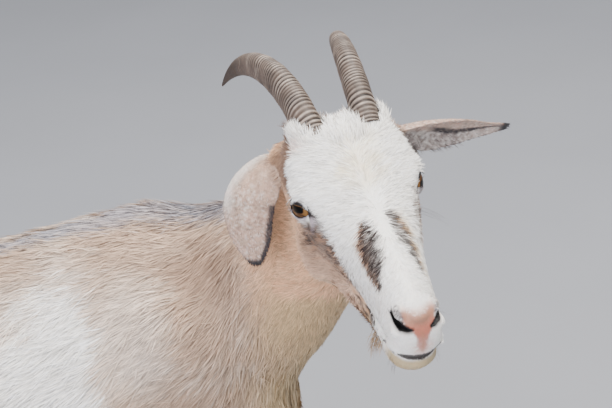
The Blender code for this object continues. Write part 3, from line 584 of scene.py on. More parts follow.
def blended_colour(points, normals, shares, for_skin=False):
    """Colour by how much of each place belongs to the head, to each ear and to the body."""
    h = to_head(points)
    head = shares["head"]
    colour = np.zeros((len(points), 3))
    body = head < 0.999
    colour[body] = body_colour(points[body], normals[body])
    on_head = head > 0.001
    face = face_colour(h[on_head])
    if for_skin:
        face = bare_colour(h[on_head], face)
    colour[on_head] = mix(colour[on_head], face, head[on_head])
    for ear in EARS:
        share = shares[ear]
        on_ear = share > 0.001
        if on_ear.any():
            own = ear_colour(h[on_ear], ear, normals[on_ear])
            colour[on_ear] = mix(colour[on_ear], own, share[on_ear])
    return np.clip(colour, 0, 1)


# ---- meshes ------------------------------------------------------------------------------------------
def add_object(name, data):
    """Puts a mesh, a lamp or a camera into the scene."""
    obj = bpy.data.objects.new(name, data)
    bpy.context.scene.collection.objects.link(obj)
    return obj


def object_from(name, bm):
    """A smooth-shaded object of what has been modelled."""
    mesh = bpy.data.meshes.new(name)
    bm.to_mesh(mesh)
    bm.free()
    mesh.polygons.foreach_set("use_smooth", [True] * len(mesh.polygons))
    return add_object(name, mesh)


def remove(obj):
    """Removes an object and its mesh."""
    mesh = obj.data
    bpy.data.objects.remove(obj, do_unlink=True)
    bpy.data.meshes.remove(mesh)


@contextmanager
def edited(mesh):
    """The mesh opened for modelling, and written back at the end."""
    bm = bmesh.new()
    bm.from_mesh(mesh)
    yield bm
    bm.to_mesh(mesh)
    bm.free()


def append(bm, part):
    """Adds one mesh in the making to another, and lets it go."""
    mesh = bpy.data.meshes.new("part")
    part.to_mesh(mesh)
    part.free()
    bm.from_mesh(mesh)
    bpy.data.meshes.remove(mesh)


def modify(obj, kind, **settings):
    """Adds a modifier and applies it."""
    modifier = obj.modifiers.new(kind.title(), kind)
    for key, value in settings.items():
        setattr(modifier, key, value)
    shaped = obj.evaluated_get(bpy.context.evaluated_depsgraph_get())
    mesh, old = bpy.data.meshes.new_from_object(shaped), obj.data
    obj.modifiers.clear()
    obj.data = mesh
    bpy.data.meshes.remove(old)
    return obj


def melt(obj, voxel, rounds):
    """Makes one even surface of what overlaps, and smooths it."""
    modify(obj, "REMESH", mode="VOXEL", voxel_size=voxel)
    if rounds:
        modify(obj, "SMOOTH", factor=0.5, iterations=rounds)
    return obj


def read(collection, field, width, kind=np.float64):
    """A field of a mesh as rows."""
    values = np.empty(len(collection) * width, kind)
    collection.foreach_get(field, values)
    return values.reshape(-1, width) if width > 1 else values


def places(mesh):
    """The places of a mesh's vertices."""
    return read(mesh.vertices, "co", 3)


def directions(mesh):
    """The normals of a mesh's vertices."""
    return read(mesh.vertex_normals, "vector", 3)


def place(mesh, points):
    """Moves a mesh's vertices."""
    mesh.vertices.foreach_set("co", points.ravel())
    mesh.update()


def triangles(mesh):
    """The vertices of each triangle of a mesh."""
    mesh.calc_loop_triangles()
    return read(mesh.loop_triangles, "vertices", 3, np.int32)


def flesh(name, nodes, grow=0.0004, keep_above=None):
    """A copy of some of the frame's solids, grown a little so that the cuts between them close."""
    bm = bmesh.new()
    for solid in nodes:
        part = bmesh.new()
        part.from_mesh(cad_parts[solid].data)
        bmesh.ops.remove_doubles(part, verts=part.verts, dist=1e-6)
        part.normal_update()
        for vert in part.verts:
            vert.co += vert.normal * grow
        if keep_above is not None:
            trim(part, keep_above, NECK_AXIS, fill=True)
        append(bm, part)
    return object_from(name, bm)


def trim(bm, point, normal, fill=False):
    """Keeps what lies on the side of a plane that its normal points to, and may close the cut."""
    cut = bmesh.ops.bisect_plane(bm, geom=bm.verts[:] + bm.edges[:] + bm.faces[:], dist=1e-7,
                                 plane_co=point, plane_no=normal, clear_inner=True)
    edges = [e for e in cut["geom_cut"] if isinstance(e, bmesh.types.BMEdge)]
    if fill and edges:
        bmesh.ops.contextual_create(bm, geom=edges)


def add_ball(bm, centre, radii, matrix=None, sides=16):
    """An ellipsoid in millimetres: its centre is forward, left and up, its radii left, back and up."""
    made = bmesh.ops.create_uvsphere(bm, u_segments=sides, v_segments=sides // 2, radius=1)["verts"]
    size = Matrix.Diagonal(Vector([r * MM for r in radii])).to_4x4()
    spin = matrix or Matrix.Identity(4)
    place_in = Matrix.Translation(crown(*centre) * MM)
    bmesh.ops.transform(bm, verts=made, matrix=HEAD_FRAME @ place_in @ spin @ size)


def facing_matrix(out, ahead):
    """Turns +Z to out and +X to ahead."""
    z = out.normalized()
    x = (ahead - z * ahead.dot(z)).normalized()
    return Matrix((x, z.cross(x), z)).transposed().to_4x4()


# ---- the skin ----------------------------------------------------------------------------------------
def blend_over_mesh(mesh, values, rounds):
    """Averages values at each vertex with its neighbours', some rounds over."""
    edges = read(mesh.edges, "vertices", 2, np.int32)
    count = np.bincount(edges.ravel(), minlength=len(values))[:, None]
    for _ in range(rounds):
        total = np.stack([np.bincount(edges[:, 0], values[edges[:, 1], k], len(values))
                          + np.bincount(edges[:, 1], values[edges[:, 0], k], len(values))
                          for k in range(values.shape[1])], axis=1)
        values = 0.4 * values + 0.6 * total / np.maximum(count, 1)
    return values


def coat_depth(points):
    """How far the skin lies inside the solids: thin on the face, thick on the trunk."""
    head = to_head(points) - np.array([25, 0, -20])
    far = np.linalg.norm(head / np.array([125, 75, 80]), axis=1)
    depth = 0.0012 + 0.0033 * ramp(far, 0.95, 1.6)
    depth = depth + 0.0018 * ramp(points[:, 1], -0.24, -0.14) * ramp(points[:, 2], 0.36, 0.48)
    legs = 1 - ramp(points[:, 2], 0.30, 0.42)
    depth = depth * (1 - legs) + 0.0004 * legs
    return depth * ramp(points[:, 2], 0.040, 0.075)


def sink(obj):
    """Draws a surface in by the depth of the coat."""
    points = places(obj.data)
    place(obj.data, points - directions(obj.data) * coat_depth(points)[:, None])


def body_skin():
    """The coarse skin of the whole body, with a mound of flesh behind each dewclaw."""
    obj = flesh("skin_body", FLESH)
    with edited(obj.data) as bm:
        for leg in LEGS:
            for letter in "ab":
                mound = bmesh.ops.create_icosphere(bm, subdivisions=2, radius=DEWCLAW_MOUND)["verts"]
                centre = middle(f"dewclaw_{leg}_{letter}") + Vector((0, -0.0075, 0.003))
                bmesh.ops.translate(bm, verts=mound, vec=centre)
    melt(obj, BODY_VOXEL, 7)
    sink(obj)
    return obj


def lid_forms(bm):
    """Fuller flesh where the face is finest: lids, brow, wings of the nose, lips and chin."""
    for side in (LEFT, RIGHT):
        centre, ahead, up, out = eye_axes(side)
        turn = facing_matrix(crown(*out), crown(*ahead))
        add_ball(bm, centre - out * 0.6, (17.0, 15.6, 16.4), turn, 24)
        add_ball(bm, centre + ahead * 13.5 - out * 1.5 - up * 1.0, (7.0, 4.2, 9.0), turn)      # inner corner
        add_ball(bm, centre - up * 10.0 - out * 2.0, (13.0, 4.5, 12.5), turn)                   # pouch below
        add_ball(bm, centre + up * 10.5 - out * 3.0, (14.0, 4.5, 13.0), turn)                   # brow fold
        add_ball(bm, (127, side * 13.5, -7.5), (5.0, 7.5, 4.6))                                 # wing, above
        add_ball(bm, (131, side * 15.0, -22.5), (7.0, 7.5, 5.0))                                # wing, below
        add_ball(bm, (124, side * 13, -42), (9.5, 14.5, 6.2))                                   # upper lip
        add_ball(bm, (104, side * 16, -48), (6.5, 20, 5.5))
    add_ball(bm, (131, 0, -10), (10.5, 8.6, 7.0))                                                # nose pad
    add_ball(bm, (127, 0, -59), (13.0, 13.5, 8.0))                                              # lower lip


def hollow_forms(form):
    """What is hollowed out of the face: sockets, the openings of the lids, nostrils and the mouth's line."""
    bm = bmesh.new()
    for side in (LEFT, RIGHT):
        centre, ahead, up, out = eye_axes(side)
        turn = facing_matrix(crown(*out), crown(*ahead))
        add_ball(bm, centre, (EYE_RADIUS / MM + 0.25,) * 3, turn, 32)
        add_opening(bm, centre, ahead, up, out)
        inwards = facing_matrix(-crown(*mirrored([NOSTRIL_OUT], side)[0]), crown(0, 0, 1))
        for forward, left, rise, half in dense(mirrored(NOSTRIL, side), 4):
            add_ball(bm, (forward - half, left - side * 0.4 * half, rise), (half, half * 1.1, 2.6 * half),
                     inwards, 10)
    surface = BVHTree.FromObject(form, bpy.context.evaluated_depsgraph_get())
    for forward, left, rise in dense(MOUTH_LINE, 6):
        start = HEAD_FRAME @ (crown(92, 0, rise) * MM)
        aim = (HEAD_FRAME @ (crown(forward, left, rise) * MM)) - start
        spot = surface.ray_cast(start, aim.normalized())[0]
        if spot is None:
            continue
        at = HEAD_FRAME.inverted() @ spot / MM
        half = 0.75 + 1.15 * (forward > 125)
        add_ball(bm, (-at.y, at.x, at.z), (2.4, 2.4, half), None, 8)
    return melt(object_from("hollows", bm), HOLLOW_VOXEL, 0)


def dense(rows, steps):
    """Rows with more rows between them on straight lines."""
    rows = np.asarray(rows, float)
    at = np.linspace(0, len(rows) - 1, (len(rows) - 1) * steps + 1)
    return [tuple(np.interp(t, np.arange(len(rows)), rows[:, k]) for k in range(rows.shape[1])) for t in at]


LID_POINTS = 28


def add_opening(bm, centre, ahead, up, out):
    """An almond-shaped plug through the lids."""
    half, rise, fall = EYE_OPENING
    outline = []
    for k in range(LID_POINTS):
        angle = 2 * math.pi * k / LID_POINTS
        c, s = math.cos(angle), math.sin(angle)
        outline.append((half * math.copysign(abs(c) ** 0.85, c), (rise if s > 0 else fall) * s))
    rings = []
    for depth in (6.0, 26.0):
        spread = 0.88 + 0.012 * depth
        ring = [centre + ahead * (x * spread) + up * (y * spread) + out * depth for x, y in outline]
        rings.append([bm.verts.new(HEAD_FRAME @ (crown(*p) * MM)) for p in ring])
    inner, outer = rings
    faces = [bm.faces.new((inner[k - 1], inner[k], outer[k], outer[k - 1])) for k in range(LID_POINTS)]
    faces += [bm.faces.new(inner[::-1]), bm.faces.new(outer)]
    bmesh.ops.recalc_face_normals(bm, faces=faces)


def head_skin():
    """The fine skin of the head and neck, with the ears joined on and the hollows cut."""
    obj = flesh("skin_head", ["head", "neck"], keep_above=Vector(NECK_CUT - NECK_AXIS * 0.045))
    melt(obj, 0.002, 16)
    sink(obj)
    with edited(obj.data) as bm:
        lid_forms(bm)
    melt(obj, HEAD_VOXEL, 5)
    for ear in EARS:
        piece = modify(flesh("skin_" + ear, [ear], grow=0), "SUBSURF", levels=2)
        modify(obj, "BOOLEAN", operation="UNION", object=piece, solver="MANIFOLD")
        remove(piece)
    hollows = hollow_forms(obj)
    modify(obj, "BOOLEAN", operation="DIFFERENCE", object=hollows, solver="MANIFOLD")
    remove(hollows)
    return obj


def heal(bm):
    """Closes the hair-thin slivers that a Boolean can leave, by making each one a single point."""
    for _ in range(4):
        bad = {vert for edge in bm.edges if not edge.is_manifold for vert in edge.verts}
        if not bad:
            return
        bmesh.ops.remove_doubles(bm, verts=list(bad), dist=1e-4)
        bmesh.ops.dissolve_degenerate(bm, edges=bm.edges, dist=1e-7)
        bmesh.ops.holes_fill(bm, edges=[edge for edge in bm.edges if edge.is_boundary], sides=8)
        bmesh.ops.triangulate(bm, faces=bm.faces)


def joined_skin():
    """The fine skin of the head and the coarser one of the body, sewn into one mesh at the neck."""
    body, head = body_skin(), head_skin()
    bm, part = bmesh.new(), bmesh.new()
    bm.from_mesh(body.data)
    trim(bm, Vector(NECK_CUT - NECK_AXIS * NECK_GAP), Vector(-NECK_AXIS))
    part.from_mesh(head.data)
    trim(part, Vector(NECK_CUT + NECK_AXIS * NECK_GAP), Vector(NECK_AXIS))
    append(bm, part)
    remove(body)
    remove(head)
    bmesh.ops.remove_doubles(bm, verts=bm.verts, dist=2e-5)

    def near_cut(vert, reach):
        return abs((np.array(vert.co) - NECK_CUT) @ NECK_AXIS) < reach

    bmesh.ops.bridge_loops(bm, edges=[e for e in bm.edges if e.is_boundary and near_cut(e.verts[0], 0.005)])
    bmesh.ops.triangulate(bm, faces=bm.faces)
    heal(bm)
    bmesh.ops.recalc_face_normals(bm, faces=bm.faces)
    seam = [v for v in bm.verts if near_cut(v, 0.014)]
    for _ in range(12):
        bmesh.ops.smooth_vert(bm, verts=seam, factor=0.5, use_axis_x=True, use_axis_y=True, use_axis_z=True)
    open_edges = sum(1 for e in bm.edges if not e.is_manifold)
    print("skin:", len(bm.faces), "faces,", open_edges, "edges that aren't closed")
    return object_from("skin", bm)


def belonging(mesh):
    """How much of each vertex of the skin belongs to each region, softly, and which region owns it."""
    corners, faces, owner = [], [], []
    count = 0
    for region, solids in enumerate(REGIONS.values()):
        for solid in solids:
            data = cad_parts[solid].data
            tris = triangles(data)
            corners.append(places(data))
            faces.append(tris + count)
            owner += [region] * len(tris)
            count += len(corners[-1])
    tree = BVHTree.FromPolygons(np.concatenate(corners).tolist(), np.concatenate(faces).tolist())
    nearest = np.array([owner[tree.find_nearest(p)[2]] for p in places(mesh).tolist()])
    own = (nearest[:, None] == np.arange(len(REGIONS))).astype(float)
    soft = blend_over_mesh(mesh, own, 8)
    return dict(zip(REGIONS, soft.T)), dict(zip(REGIONS, own.T > 0.5))


def trunk_lie(points):
    """Back and down over the ribs, and steeply down the shoulder, the thigh and the belly's side."""
    x, y, z = points.T
    side = np.clip((x - SPINE_X) / 0.11, -1, 1)
    height = np.abs(side)
    lie = np.stack([side * 0.10, np.full(len(x), 1.0), -0.10 - 0.42 * height], axis=1)
    for way, share in (((0.0, 0.80, -0.75), ramp(-z, -0.60, -0.46) * ramp(height, 0.2, 0.6)),
                       ((0.0, 0.28, -0.95), (1 - ramp(y, -0.262, -0.205)) * ramp(height, 0.1, 0.5)),
                       ((0.0, 0.30, -0.95), ramp(y, 0.20, 0.31) * ramp(height, 0.3, 0.7))):
        lie = mix(lie, np.array(way), share)
    return lie


def face_lie(h):
    """Back and out over the forehead, forward and down on the muzzle, back and down on the cheek."""
    f, l, u = h.T
    side = np.abs(l)
    ahead = ramp(f, 30, 70)
    lie = np.stack([-0.42 + 0.85 * ahead, l / (side + 3), -0.15 - 0.35 * ahead], axis=1)
    for way, share in (((-0.75, 0.0, -0.60), ramp(side, 26, 40) * ramp(-u, 0, 22) * (1 - ramp(f, 60, 90))),
                       ((-0.8, 0.0, -0.35), ramp(-u, 66, 78) * (1 - ramp(f, 70, 100))),
                       ((0.55, 0.0, -0.85), ramp(f, 108, 126) * ramp(-u, 34, 50)),
                       ((-0.90, 0.05 * LEFT, 0.12), horn_nearness(h, LEFT)),
                       ((-0.90, 0.05 * RIGHT, 0.12), horn_nearness(h, RIGHT)),
                       ((-0.9, 0.0, -0.5), ramp(-f, 66, 80))):
        lie = mix(lie, np.array(way), share)
    return lie


def lie_of_coat(points, normals, shares):
    """The way the hair lies at each place of the skin, along the surface."""
    neck = unit(-neck_segment(points)[2]) + np.array((0, 0.05, -0.35))
    legs, tail = all_of((0.0, 0.14, -1.0), points), all_of((0.0, 0.60, 0.80), points)
    h = to_head(points)
    way = shares["head"][:, None] * turned_from_head(face_lie(h))
    for key, field in (("neck", neck), ("trunk", trunk_lie(points)), ("tail", tail), ("legs", legs)):
        way = way + shares[key][:, None] * unit(field)
    for ear in EARS:
        _, across, along, sideways, _ = ear_place(h, ear)
        own = along + sideways * (across * 0.35)[:, None]
        way = way + shares[ear][:, None] * turned_from_head(unit(own))
    way = way + 0.18 * slope(points, 0.05, 61)
    return unit(across_from(way, normals))


# ---- the coat ----------------------------------------------------------------------------------------
class Coat:
    """What the coat needs to know of the skin, worked out once for each vertex and face."""

    def __init__(self, skin):
        mesh = skin.data
        self.points, self.normals, self.faces = places(mesh), directions(mesh), triangles(mesh)
        self.shares, self.own = belonging(mesh)
        self.lie = lie_of_coat(self.points, self.normals, self.shares)
        corner = self.points[self.faces]
        across = np.cross(corner[:, 1] - corner[:, 0], corner[:, 2] - corner[:, 0])
        self.area = np.linalg.norm(across, axis=1) / 2
        self.middle = corner.mean(axis=1)

    def faces_of(self, region, least):
        """Marks the faces with at least that many corners in a region."""
        mask = np.zeros(len(self.points), bool)
        for key in region:
            mask |= self.own[key]
        return mask[self.faces].sum(axis=1) >= least


EAR_HAIR_SIZE = (3.4, 0.42)        # length and width in millimetres


def face_hair(h):
    """Length, width and density of the face's hair, in millimetres, from bare leather to the poll."""
    f, _, u = h.T
    length = np.interp(f, [-70, -40, -10, 30, 70, 105, 125, 140], [10, 11, 13, 12, 9.5, 6.5, 4.4, 3.0])
    length = length + 3 * ramp(-u, 20, 60) * (1 - ramp(f, 40, 90))
    for side in (LEFT, RIGHT):
        reach, _ = eye_reach(h, side)
        length = np.minimum(length, 2.0 + 3.4 * np.maximum(reach - 1.1, 0))
        length = np.minimum(length, 1.4 + 0.35 * np.maximum(nostril_reach(h, side), 0))
    mouth, _ = along_line(h, MOUTH_LINE)
    length = np.minimum(length, 1.4 + 0.45 * mouth)
    width = 0.36 + 0.032 * length
    density = 1 + 1.8 * ramp(f, 60, 120)
    return length, width, density


def horn_nearness(h, side):
    """1 at the root of a horn, 0 from 34 mm away."""
    return 1 - ramp(np.linalg.norm(h - mirrored([HORN_ROOT], side), axis=1), 20, 34)


def bare(h):
    """True where no hair grows on the head."""
    nothing = (leather(h) > 0.55) & (h[:, 2] > -21)
    for side in (LEFT, RIGHT):
        reach, _ = eye_reach(h, side)
        inside = np.linalg.norm(h - eye_axes(side)[0], axis=1) < EYE_RADIUS / MM + 0.9
        nothing |= (reach < 1.32) | inside | (nostril_reach(h, side) < 0.9)
    mouth, _ = along_line(h, MOUTH_LINE)
    return nothing | (mouth < 1.4 + 1.2 * ramp(-np.abs(h[:, 1]), -21.5, -16))


def scatter(coat, region, blades, rng, profile):
    """Random places on a region: the corners of the faces they fall on, and how near each corner is."""
    weight = coat.area * coat.faces_of(region, 2)
    if profile == "face":
        h = to_head(coat.middle)
        weight = weight * face_hair(h)[2] * ~bare(h)
    if profile == "legs":
        weight = weight * (1 + 1.2 * (1 - ramp(coat.middle[:, 2], 0.10, 0.34)))
    if profile == "body":
        weight = weight * (1 + 0.5 * (coat.middle[:, 0] < SPINE_X))
    face = np.searchsorted(np.cumsum(weight), rng.random(blades) * weight.sum())
    face = np.minimum(face, len(coat.faces) - 1)
    a, b = rng.random((2, blades))
    flip = a + b > 1
    a, b = np.where(flip, 1 - a, a), np.where(flip, 1 - b, b)
    return coat.faces[face], np.stack([1 - a - b, a, b], axis=1)


def hair_size(root, h, shares):
    """Length and width in millimetres, by region: shortest on the ears, longest on the tail."""
    body_length = 25 - 11 * shares["neck"] - 14 * shares["legs"] + 14 * shares["tail"]
    low = 1 - ramp(root[:, 2], 0.12, 0.42)
    body_length = body_length * (1 - 0.42 * low * shares["legs"])
    face_length, face_width, _ = face_hair(h)
    velvet = shares["ear_left"] + shares["ear_right"]
    length = np.where(shares["head"] > 0, mixed(body_length, face_length, shares["head"]), body_length)
    width = mixed(1.15 - 0.45 * shares["legs"] - 0.2 * shares["neck"], face_width, shares["head"])
    return (mixed(length, np.full(len(root), EAR_HAIR_SIZE[0]), velvet),
            mixed(width, np.full(len(root), EAR_HAIR_SIZE[1]), velvet))


def grow(coat, name, region, blades, seed, scale=1.0, width_scale=1.0, lift=0.10, stray=0.12, gather=0.25,
         jitter=0.004, profile="body"):
    """Roots, way, length, width and colour of a coat piece's blades."""
    rng = np.random.default_rng(seed)
    corners, share = scatter(coat, region, blades, rng, profile)

    def spread(values):
        return (values[corners] * share[:, :, None]).sum(axis=1)

    root, normal, way = spread(coat.points), unit(spread(coat.normals)), spread(coat.lie)
    shares = {key: (value[corners] * share).sum(axis=1) for key, value in coat.shares.items()}
    h = to_head(root)
    length, width = hair_size(root, h, shares)
    length = length * scale * MM * rng.uniform(0.65, 1.15, blades)
    width = width * width_scale * MM * rng.uniform(0.8, 1.25, blades)
    raised = np.maximum(horn_nearness(h, LEFT), horn_nearness(h, RIGHT)) * shares["head"]
    lift = (lift + 0.12 * raised) * (1 + 0.6 * rng.normal(size=blades)).clip(0.15, 3)
    lump = 0.009 if profile != "face" else 0.005
    way = way + gather * slope(root, lump, 71) + stray * rng.normal(size=(blades, 3))
    seen = root + unit(way) * (0.6 * length)[:, None]       # the part of a hair that lies on top
    colour = blended_colour(seen + jitter * rng.normal(size=(blades, 3)).clip(-2, 2), normal, shares)
    return dict(name=name, rng=rng, root=root, normal=normal, way=way, length=length, width=width, lift=lift,
                colour=colour)


# Single hairs and wisps on the head: which sides, where, how far apart, which way, how many, length and
# width in millimetres, and colour.
BOTH = (LEFT, RIGHT)
WISPS = (
    (BOTH, (80, 12, -74), 7, (0.05, -0.20, -1.0), 50, 34, 0.60, BEARD),           # beard of a young doe
    (BOTH, (93, 17, -62), 6, (-0.22, 0.10, -1.0), 46, 34, 0.50, BEARD),
    (BOTH, (102, 17, -61), 5, (-0.10, 0.10, -1.0), 26, 17, 0.45, BEARD),
    (BOTH, (-26, 8, 42), 10, (-0.55, 0.1, 0.6), 90, 13, 0.55, WHITE),             # tuft at the parting
    ((LEFT,), (-42, 14, 43), 9, (-0.75, 0.05, 0.60), 70, 12, 0.60, WHITE),        # before the left horn
    (BOTH, (2, 45, 9), 5, (0.25, 0.85, 0.45), 30, 8, 0.30, WHISKER),              # lashes
    ((LEFT,), (24, 39, -8), 5, (0.45, 0.85, -0.45), 12, 30, 0.24, WHISKER),       # feelers under the eye
    (BOTH, (118, 21, -34), 9, (0.45, 0.85, -0.25), 16, 10, 0.18, CHEEK),          # of the muzzle
    (BOTH, (122, 13, -62), 8, (0.35, 0.35, -0.85), 16, 12, 0.20, CHEEK),          # of the chin
    ((LEFT,), (-60, 66, -12), 14, (0.15, 0.45, -0.85), 150, 10, 0.45, EAR_HAIR_AND_SHADE),  # fringe of the left ear
    ((LEFT,), (-60, 96, -18), 16, (0.10, 0.70, -0.70), 150, 7, 0.40, EAR_HAIR_AND_SHADE),
)


def wisps(coat, name, seed):
    """Roots, way, length, width and colour of the head's single hairs and wisps."""
    rng = np.random.default_rng(seed)
    h = to_head(coat.points)
    rows = []
    for sides, centre, spread, way, count, length, width, colour in WISPS:
        for side in sides:
            gap = np.linalg.norm(h - mirrored([centre], side), axis=1)
            near = np.flatnonzero(gap < spread)
            if len(near) == 0:
                continue
            chance = 1.01 - gap[near] / spread
            pick = rng.choice(near, count, p=chance / chance.sum())
            towards = all_of((way[0], side * way[1], way[2]), pick) + 0.10 * rng.normal(size=(count, 3))
            rows.append((pick, turned_from_head(unit(towards)), np.full(count, length * MM),
                         np.full(count, width * MM), all_of(colour, pick)))
    pick, towards, length, width, colour = (np.concatenate(column) for column in zip(*rows))
    normal = coat.normals[pick]
    rise = (towards * normal).sum(axis=1)
    flat = np.linalg.norm(towards - normal * rise[:, None], axis=1)
    root = coat.points[pick] + 0.0008 * rng.normal(size=(len(pick), 3))
    return dict(name=name, rng=rng, root=root, normal=normal, way=towards,
                length=length * rng.uniform(0.7, 1.1, len(pick)) * flat, width=width,
                lift=(rise / np.maximum(flat, 0.15)).clip(0.02, 4), colour=colour)


# A blade's points from root to tip: share of its length, side, share of its rise, and shade of its colour:
# darker at the root as painted shade of the coat over it, lighter at the tip.
BLADE_SHAPE = np.array([(0.0, 0.50, 0.0, 0.62), (0.0, -0.50, 0.0, 0.62), (0.52, 0.44, 0.62, 0.98),
                        (0.52, -0.44, 0.62, 0.98), (1.0, 0.0, 1.0, 1.10)])
BLADE_FACES = ((0, 1, 2), (2, 1, 3), (2, 3, 4))
BLADE_SPOTS = np.array([(0, 0), (1, 0), (0.1, 0.5), (0.9, 0.5), (0.5, 1)])
UNWRAP_FACES = 2400
PATCH = 0.003                   # size of a blade's place on the unwrap
HAIR_SUNK = 0.0004


def blade_points(made):
    """The five points of each blade, and the way that each is shaded."""
    rng, root, normal = made["rng"], made["root"], made["normal"]
    length, width, lift = made["length"], made["width"], made["lift"]
    way = unit(across_from(made["way"], normal))
    side = np.cross(normal, way)
    roll = rng.normal(0, 0.35, len(root))[:, None]
    flat = side * np.cos(roll) + normal * np.sin(roll)
    sway = side * (rng.normal(0, 0.07, len(root)) * length)[:, None]
    sunk = root - normal * HAIR_SUNK
    points = np.empty((len(root), len(BLADE_SHAPE), 3))
    for k, (share, half, rise, _) in enumerate(BLADE_SHAPE):
        middle_line = (sunk + way * (share * length)[:, None]
                       + normal * (rise * lift * length)[:, None] + sway * share * share)
        points[:, k] = middle_line + flat * (half * width)[:, None]
    face_up = np.cross(way, flat)
    face_up *= np.sign((face_up * normal).sum(axis=1))[:, None]
    return points, unit(normal * 0.56 + face_up * 0.44)


def blade_faces(points, normal):
    """Each blade's triangles, all turned outwards."""
    first = np.arange(len(points))[:, None] * len(BLADE_SHAPE)
    faces = np.concatenate([first + np.array(t) for t in BLADE_FACES], axis=1).reshape(len(points), 3, 3)
    flips = (np.cross(points[:, 1] - points[:, 0], points[:, 2] - points[:, 0]) * normal).sum(axis=1) < 0
    faces[flips] = faces[flips][:, :, ::-1]
    return faces.reshape(-1, 3)


def build_blades(made, uv_of):
    """Turns the roots of a coat piece into its mesh of thin blades."""
    root = made["root"]
    points, shading = blade_points(made)
    faces = blade_faces(points, made["normal"])
    tone = 1 + 0.16 * made["rng"].normal(size=len(root)) + 0.10 * noise(root, 0.007, 73)
    colour = made["colour"] * tone.clip(0.6, 1.35)[:, None]
    tint = np.ones((len(root), len(BLADE_SHAPE), 4))
    # Each blade darkens towards its root, painted shade of the coat above it, and lightens towards its tip.
    tint[:, :, :3] = np.clip(colour[:, None, :] * BLADE_SHAPE[None, :, 3, None], 0, 1)

    mesh = bpy.data.meshes.new(made["name"])
    mesh.vertices.add(len(root) * len(BLADE_SHAPE))
    mesh.vertices.foreach_set("co", points.ravel())
    mesh.loops.add(faces.size)
    mesh.loops.foreach_set("vertex_index", faces.ravel())
    mesh.polygons.add(len(faces))
    mesh.polygons.foreach_set("loop_start", np.arange(len(faces)) * 3)
    mesh.polygons.foreach_set("loop_total", np.full(len(faces), 3))
    mesh.polygons.foreach_set("use_smooth", np.ones(len(faces), bool))
    mesh.update(calc_edges=True)
    add_tint(mesh, tint.reshape(-1, 4))
    uv = (uv_of(root)[:, None, :] * (1 - PATCH) + BLADE_SPOTS * PATCH).reshape(-1, 2)
    mesh.uv_layers.new(name="OFBake").data.foreach_set("uv", uv[faces.ravel()].ravel())
    mesh.normals_split_custom_set_from_vertices(np.repeat(shading, len(BLADE_SHAPE), axis=0))
    return add_object(made["name"], mesh)


def add_tint(mesh, values):
    """Keeps a colour for each point, which the materials read."""
    layer = mesh.color_attributes.new("tint", "FLOAT_COLOR", "POINT")
    layer.data.foreach_set("color", values.ravel())


def smart_unwrapped(obj):
    """Unwraps an object by the angles of its faces."""
    bpy.context.view_layer.objects.active = obj
    for other in bpy.context.selected_objects:
        other.select_set(False)
    obj.select_set(True)
    bpy.ops.object.mode_set(mode="EDIT")
    bpy.ops.mesh.select_all(action="SELECT")
    bpy.ops.uv.smart_project(angle_limit=math.radians(66), island_margin=0.004)
    bpy.ops.object.mode_set(mode="OBJECT")
    return obj.data


def corner_shares(spots, a, b, c):
    """How near each place on a triangle is to its three corners."""
    ab, ac, ap = b - a, c - a, spots - a
    d00, d01, d11 = (ab * ab).sum(1), (ab * ac).sum(1), (ac * ac).sum(1)
    d20, d21 = (ap * ab).sum(1), (ap * ac).sum(1)
    scale = np.maximum(d00 * d11 - d01 * d01, 1e-18)
    v = (d11 * d20 - d01 * d21) / scale
    w = (d00 * d21 - d01 * d20) / scale
    return np.clip(np.stack([1 - v - w, v, w], axis=1), 0, 1)[:, :, None]


def unwrap(coat, region):
    """A look-up from a place on a region of the skin to its place on an unwrap of that region's shape."""
    keep = coat.faces_of(region, 1)
    used, index = np.unique(coat.faces[keep], return_inverse=True)
    mesh = bpy.data.meshes.new("unwrap")
    mesh.from_pydata(coat.points[used].tolist(), [], index.reshape(-1, 3).tolist())
    obj = add_object("unwrap", mesh)
    modify(obj, "DECIMATE", ratio=min(1.0, UNWRAP_FACES / max(1, keep.sum())))
    data = smart_unwrapped(obj)
    tris, corners = triangles(data), places(data)
    loops = read(data.loop_triangles, "loops", 3, np.int32)
    uv = read(data.uv_layers.active.data, "uv", 2)
    low, high = uv.min(axis=0), uv.max(axis=0)
    uv = (uv - low) / (high - low)
    tree = BVHTree.FromPolygons(corners.tolist(), tris.tolist())
    remove(obj)

    def look_up(points):
        hits = [tree.find_nearest(p) for p in points.tolist()]
        spots, found = np.array([hit[0][:] for hit in hits]), np.array([hit[2] for hit in hits])
        share = corner_shares(spots, *(corners[tris[found, k]] for k in range(3)))
        return (uv[loops[found]] * share).sum(axis=1)

    return look_up


# ---- materials ---------------------------------------------------------------------------------------
def node(tree, kind, links=(), **settings):
    """Adds a node; settings named as its properties or inputs, links as (output, input) pairs."""
    made = tree.nodes.new(kind)
    for key, value in settings.items():
        if hasattr(made, key):
            setattr(made, key, value)
        else:
            made.inputs[key.replace("_", " ")].default_value = value
    for source, target in links:
        tree.links.new(source, made.inputs[target])
    return made


def new_material(name):
    """An empty node material."""
    material = bpy.data.materials.new(name)
    material.use_nodes = True
    tree = material.node_tree
    tree.nodes.clear()
    return material, tree


def shader(tree, settings, links):
    """The Principled shader and its output. Constants sit on the shader's own sockets."""
    main_node = tree.nodes.new("ShaderNodeBsdfPrincipled")
    for key, value in settings.items():
        main_node.inputs[key].default_value = value
    for source, target in links:
        tree.links.new(source, main_node.inputs[target])
    node(tree, "ShaderNodeOutputMaterial", [(main_node.outputs[0], "Surface")])
    return main_node


def object_noise(tree, place_on, scale, detail):
    """Noise fixed to the object's own coordinates."""
    return node(tree, "ShaderNodeTexNoise", [(place_on.outputs["Object"], "Vector")], Scale=scale,
                Detail=detail)


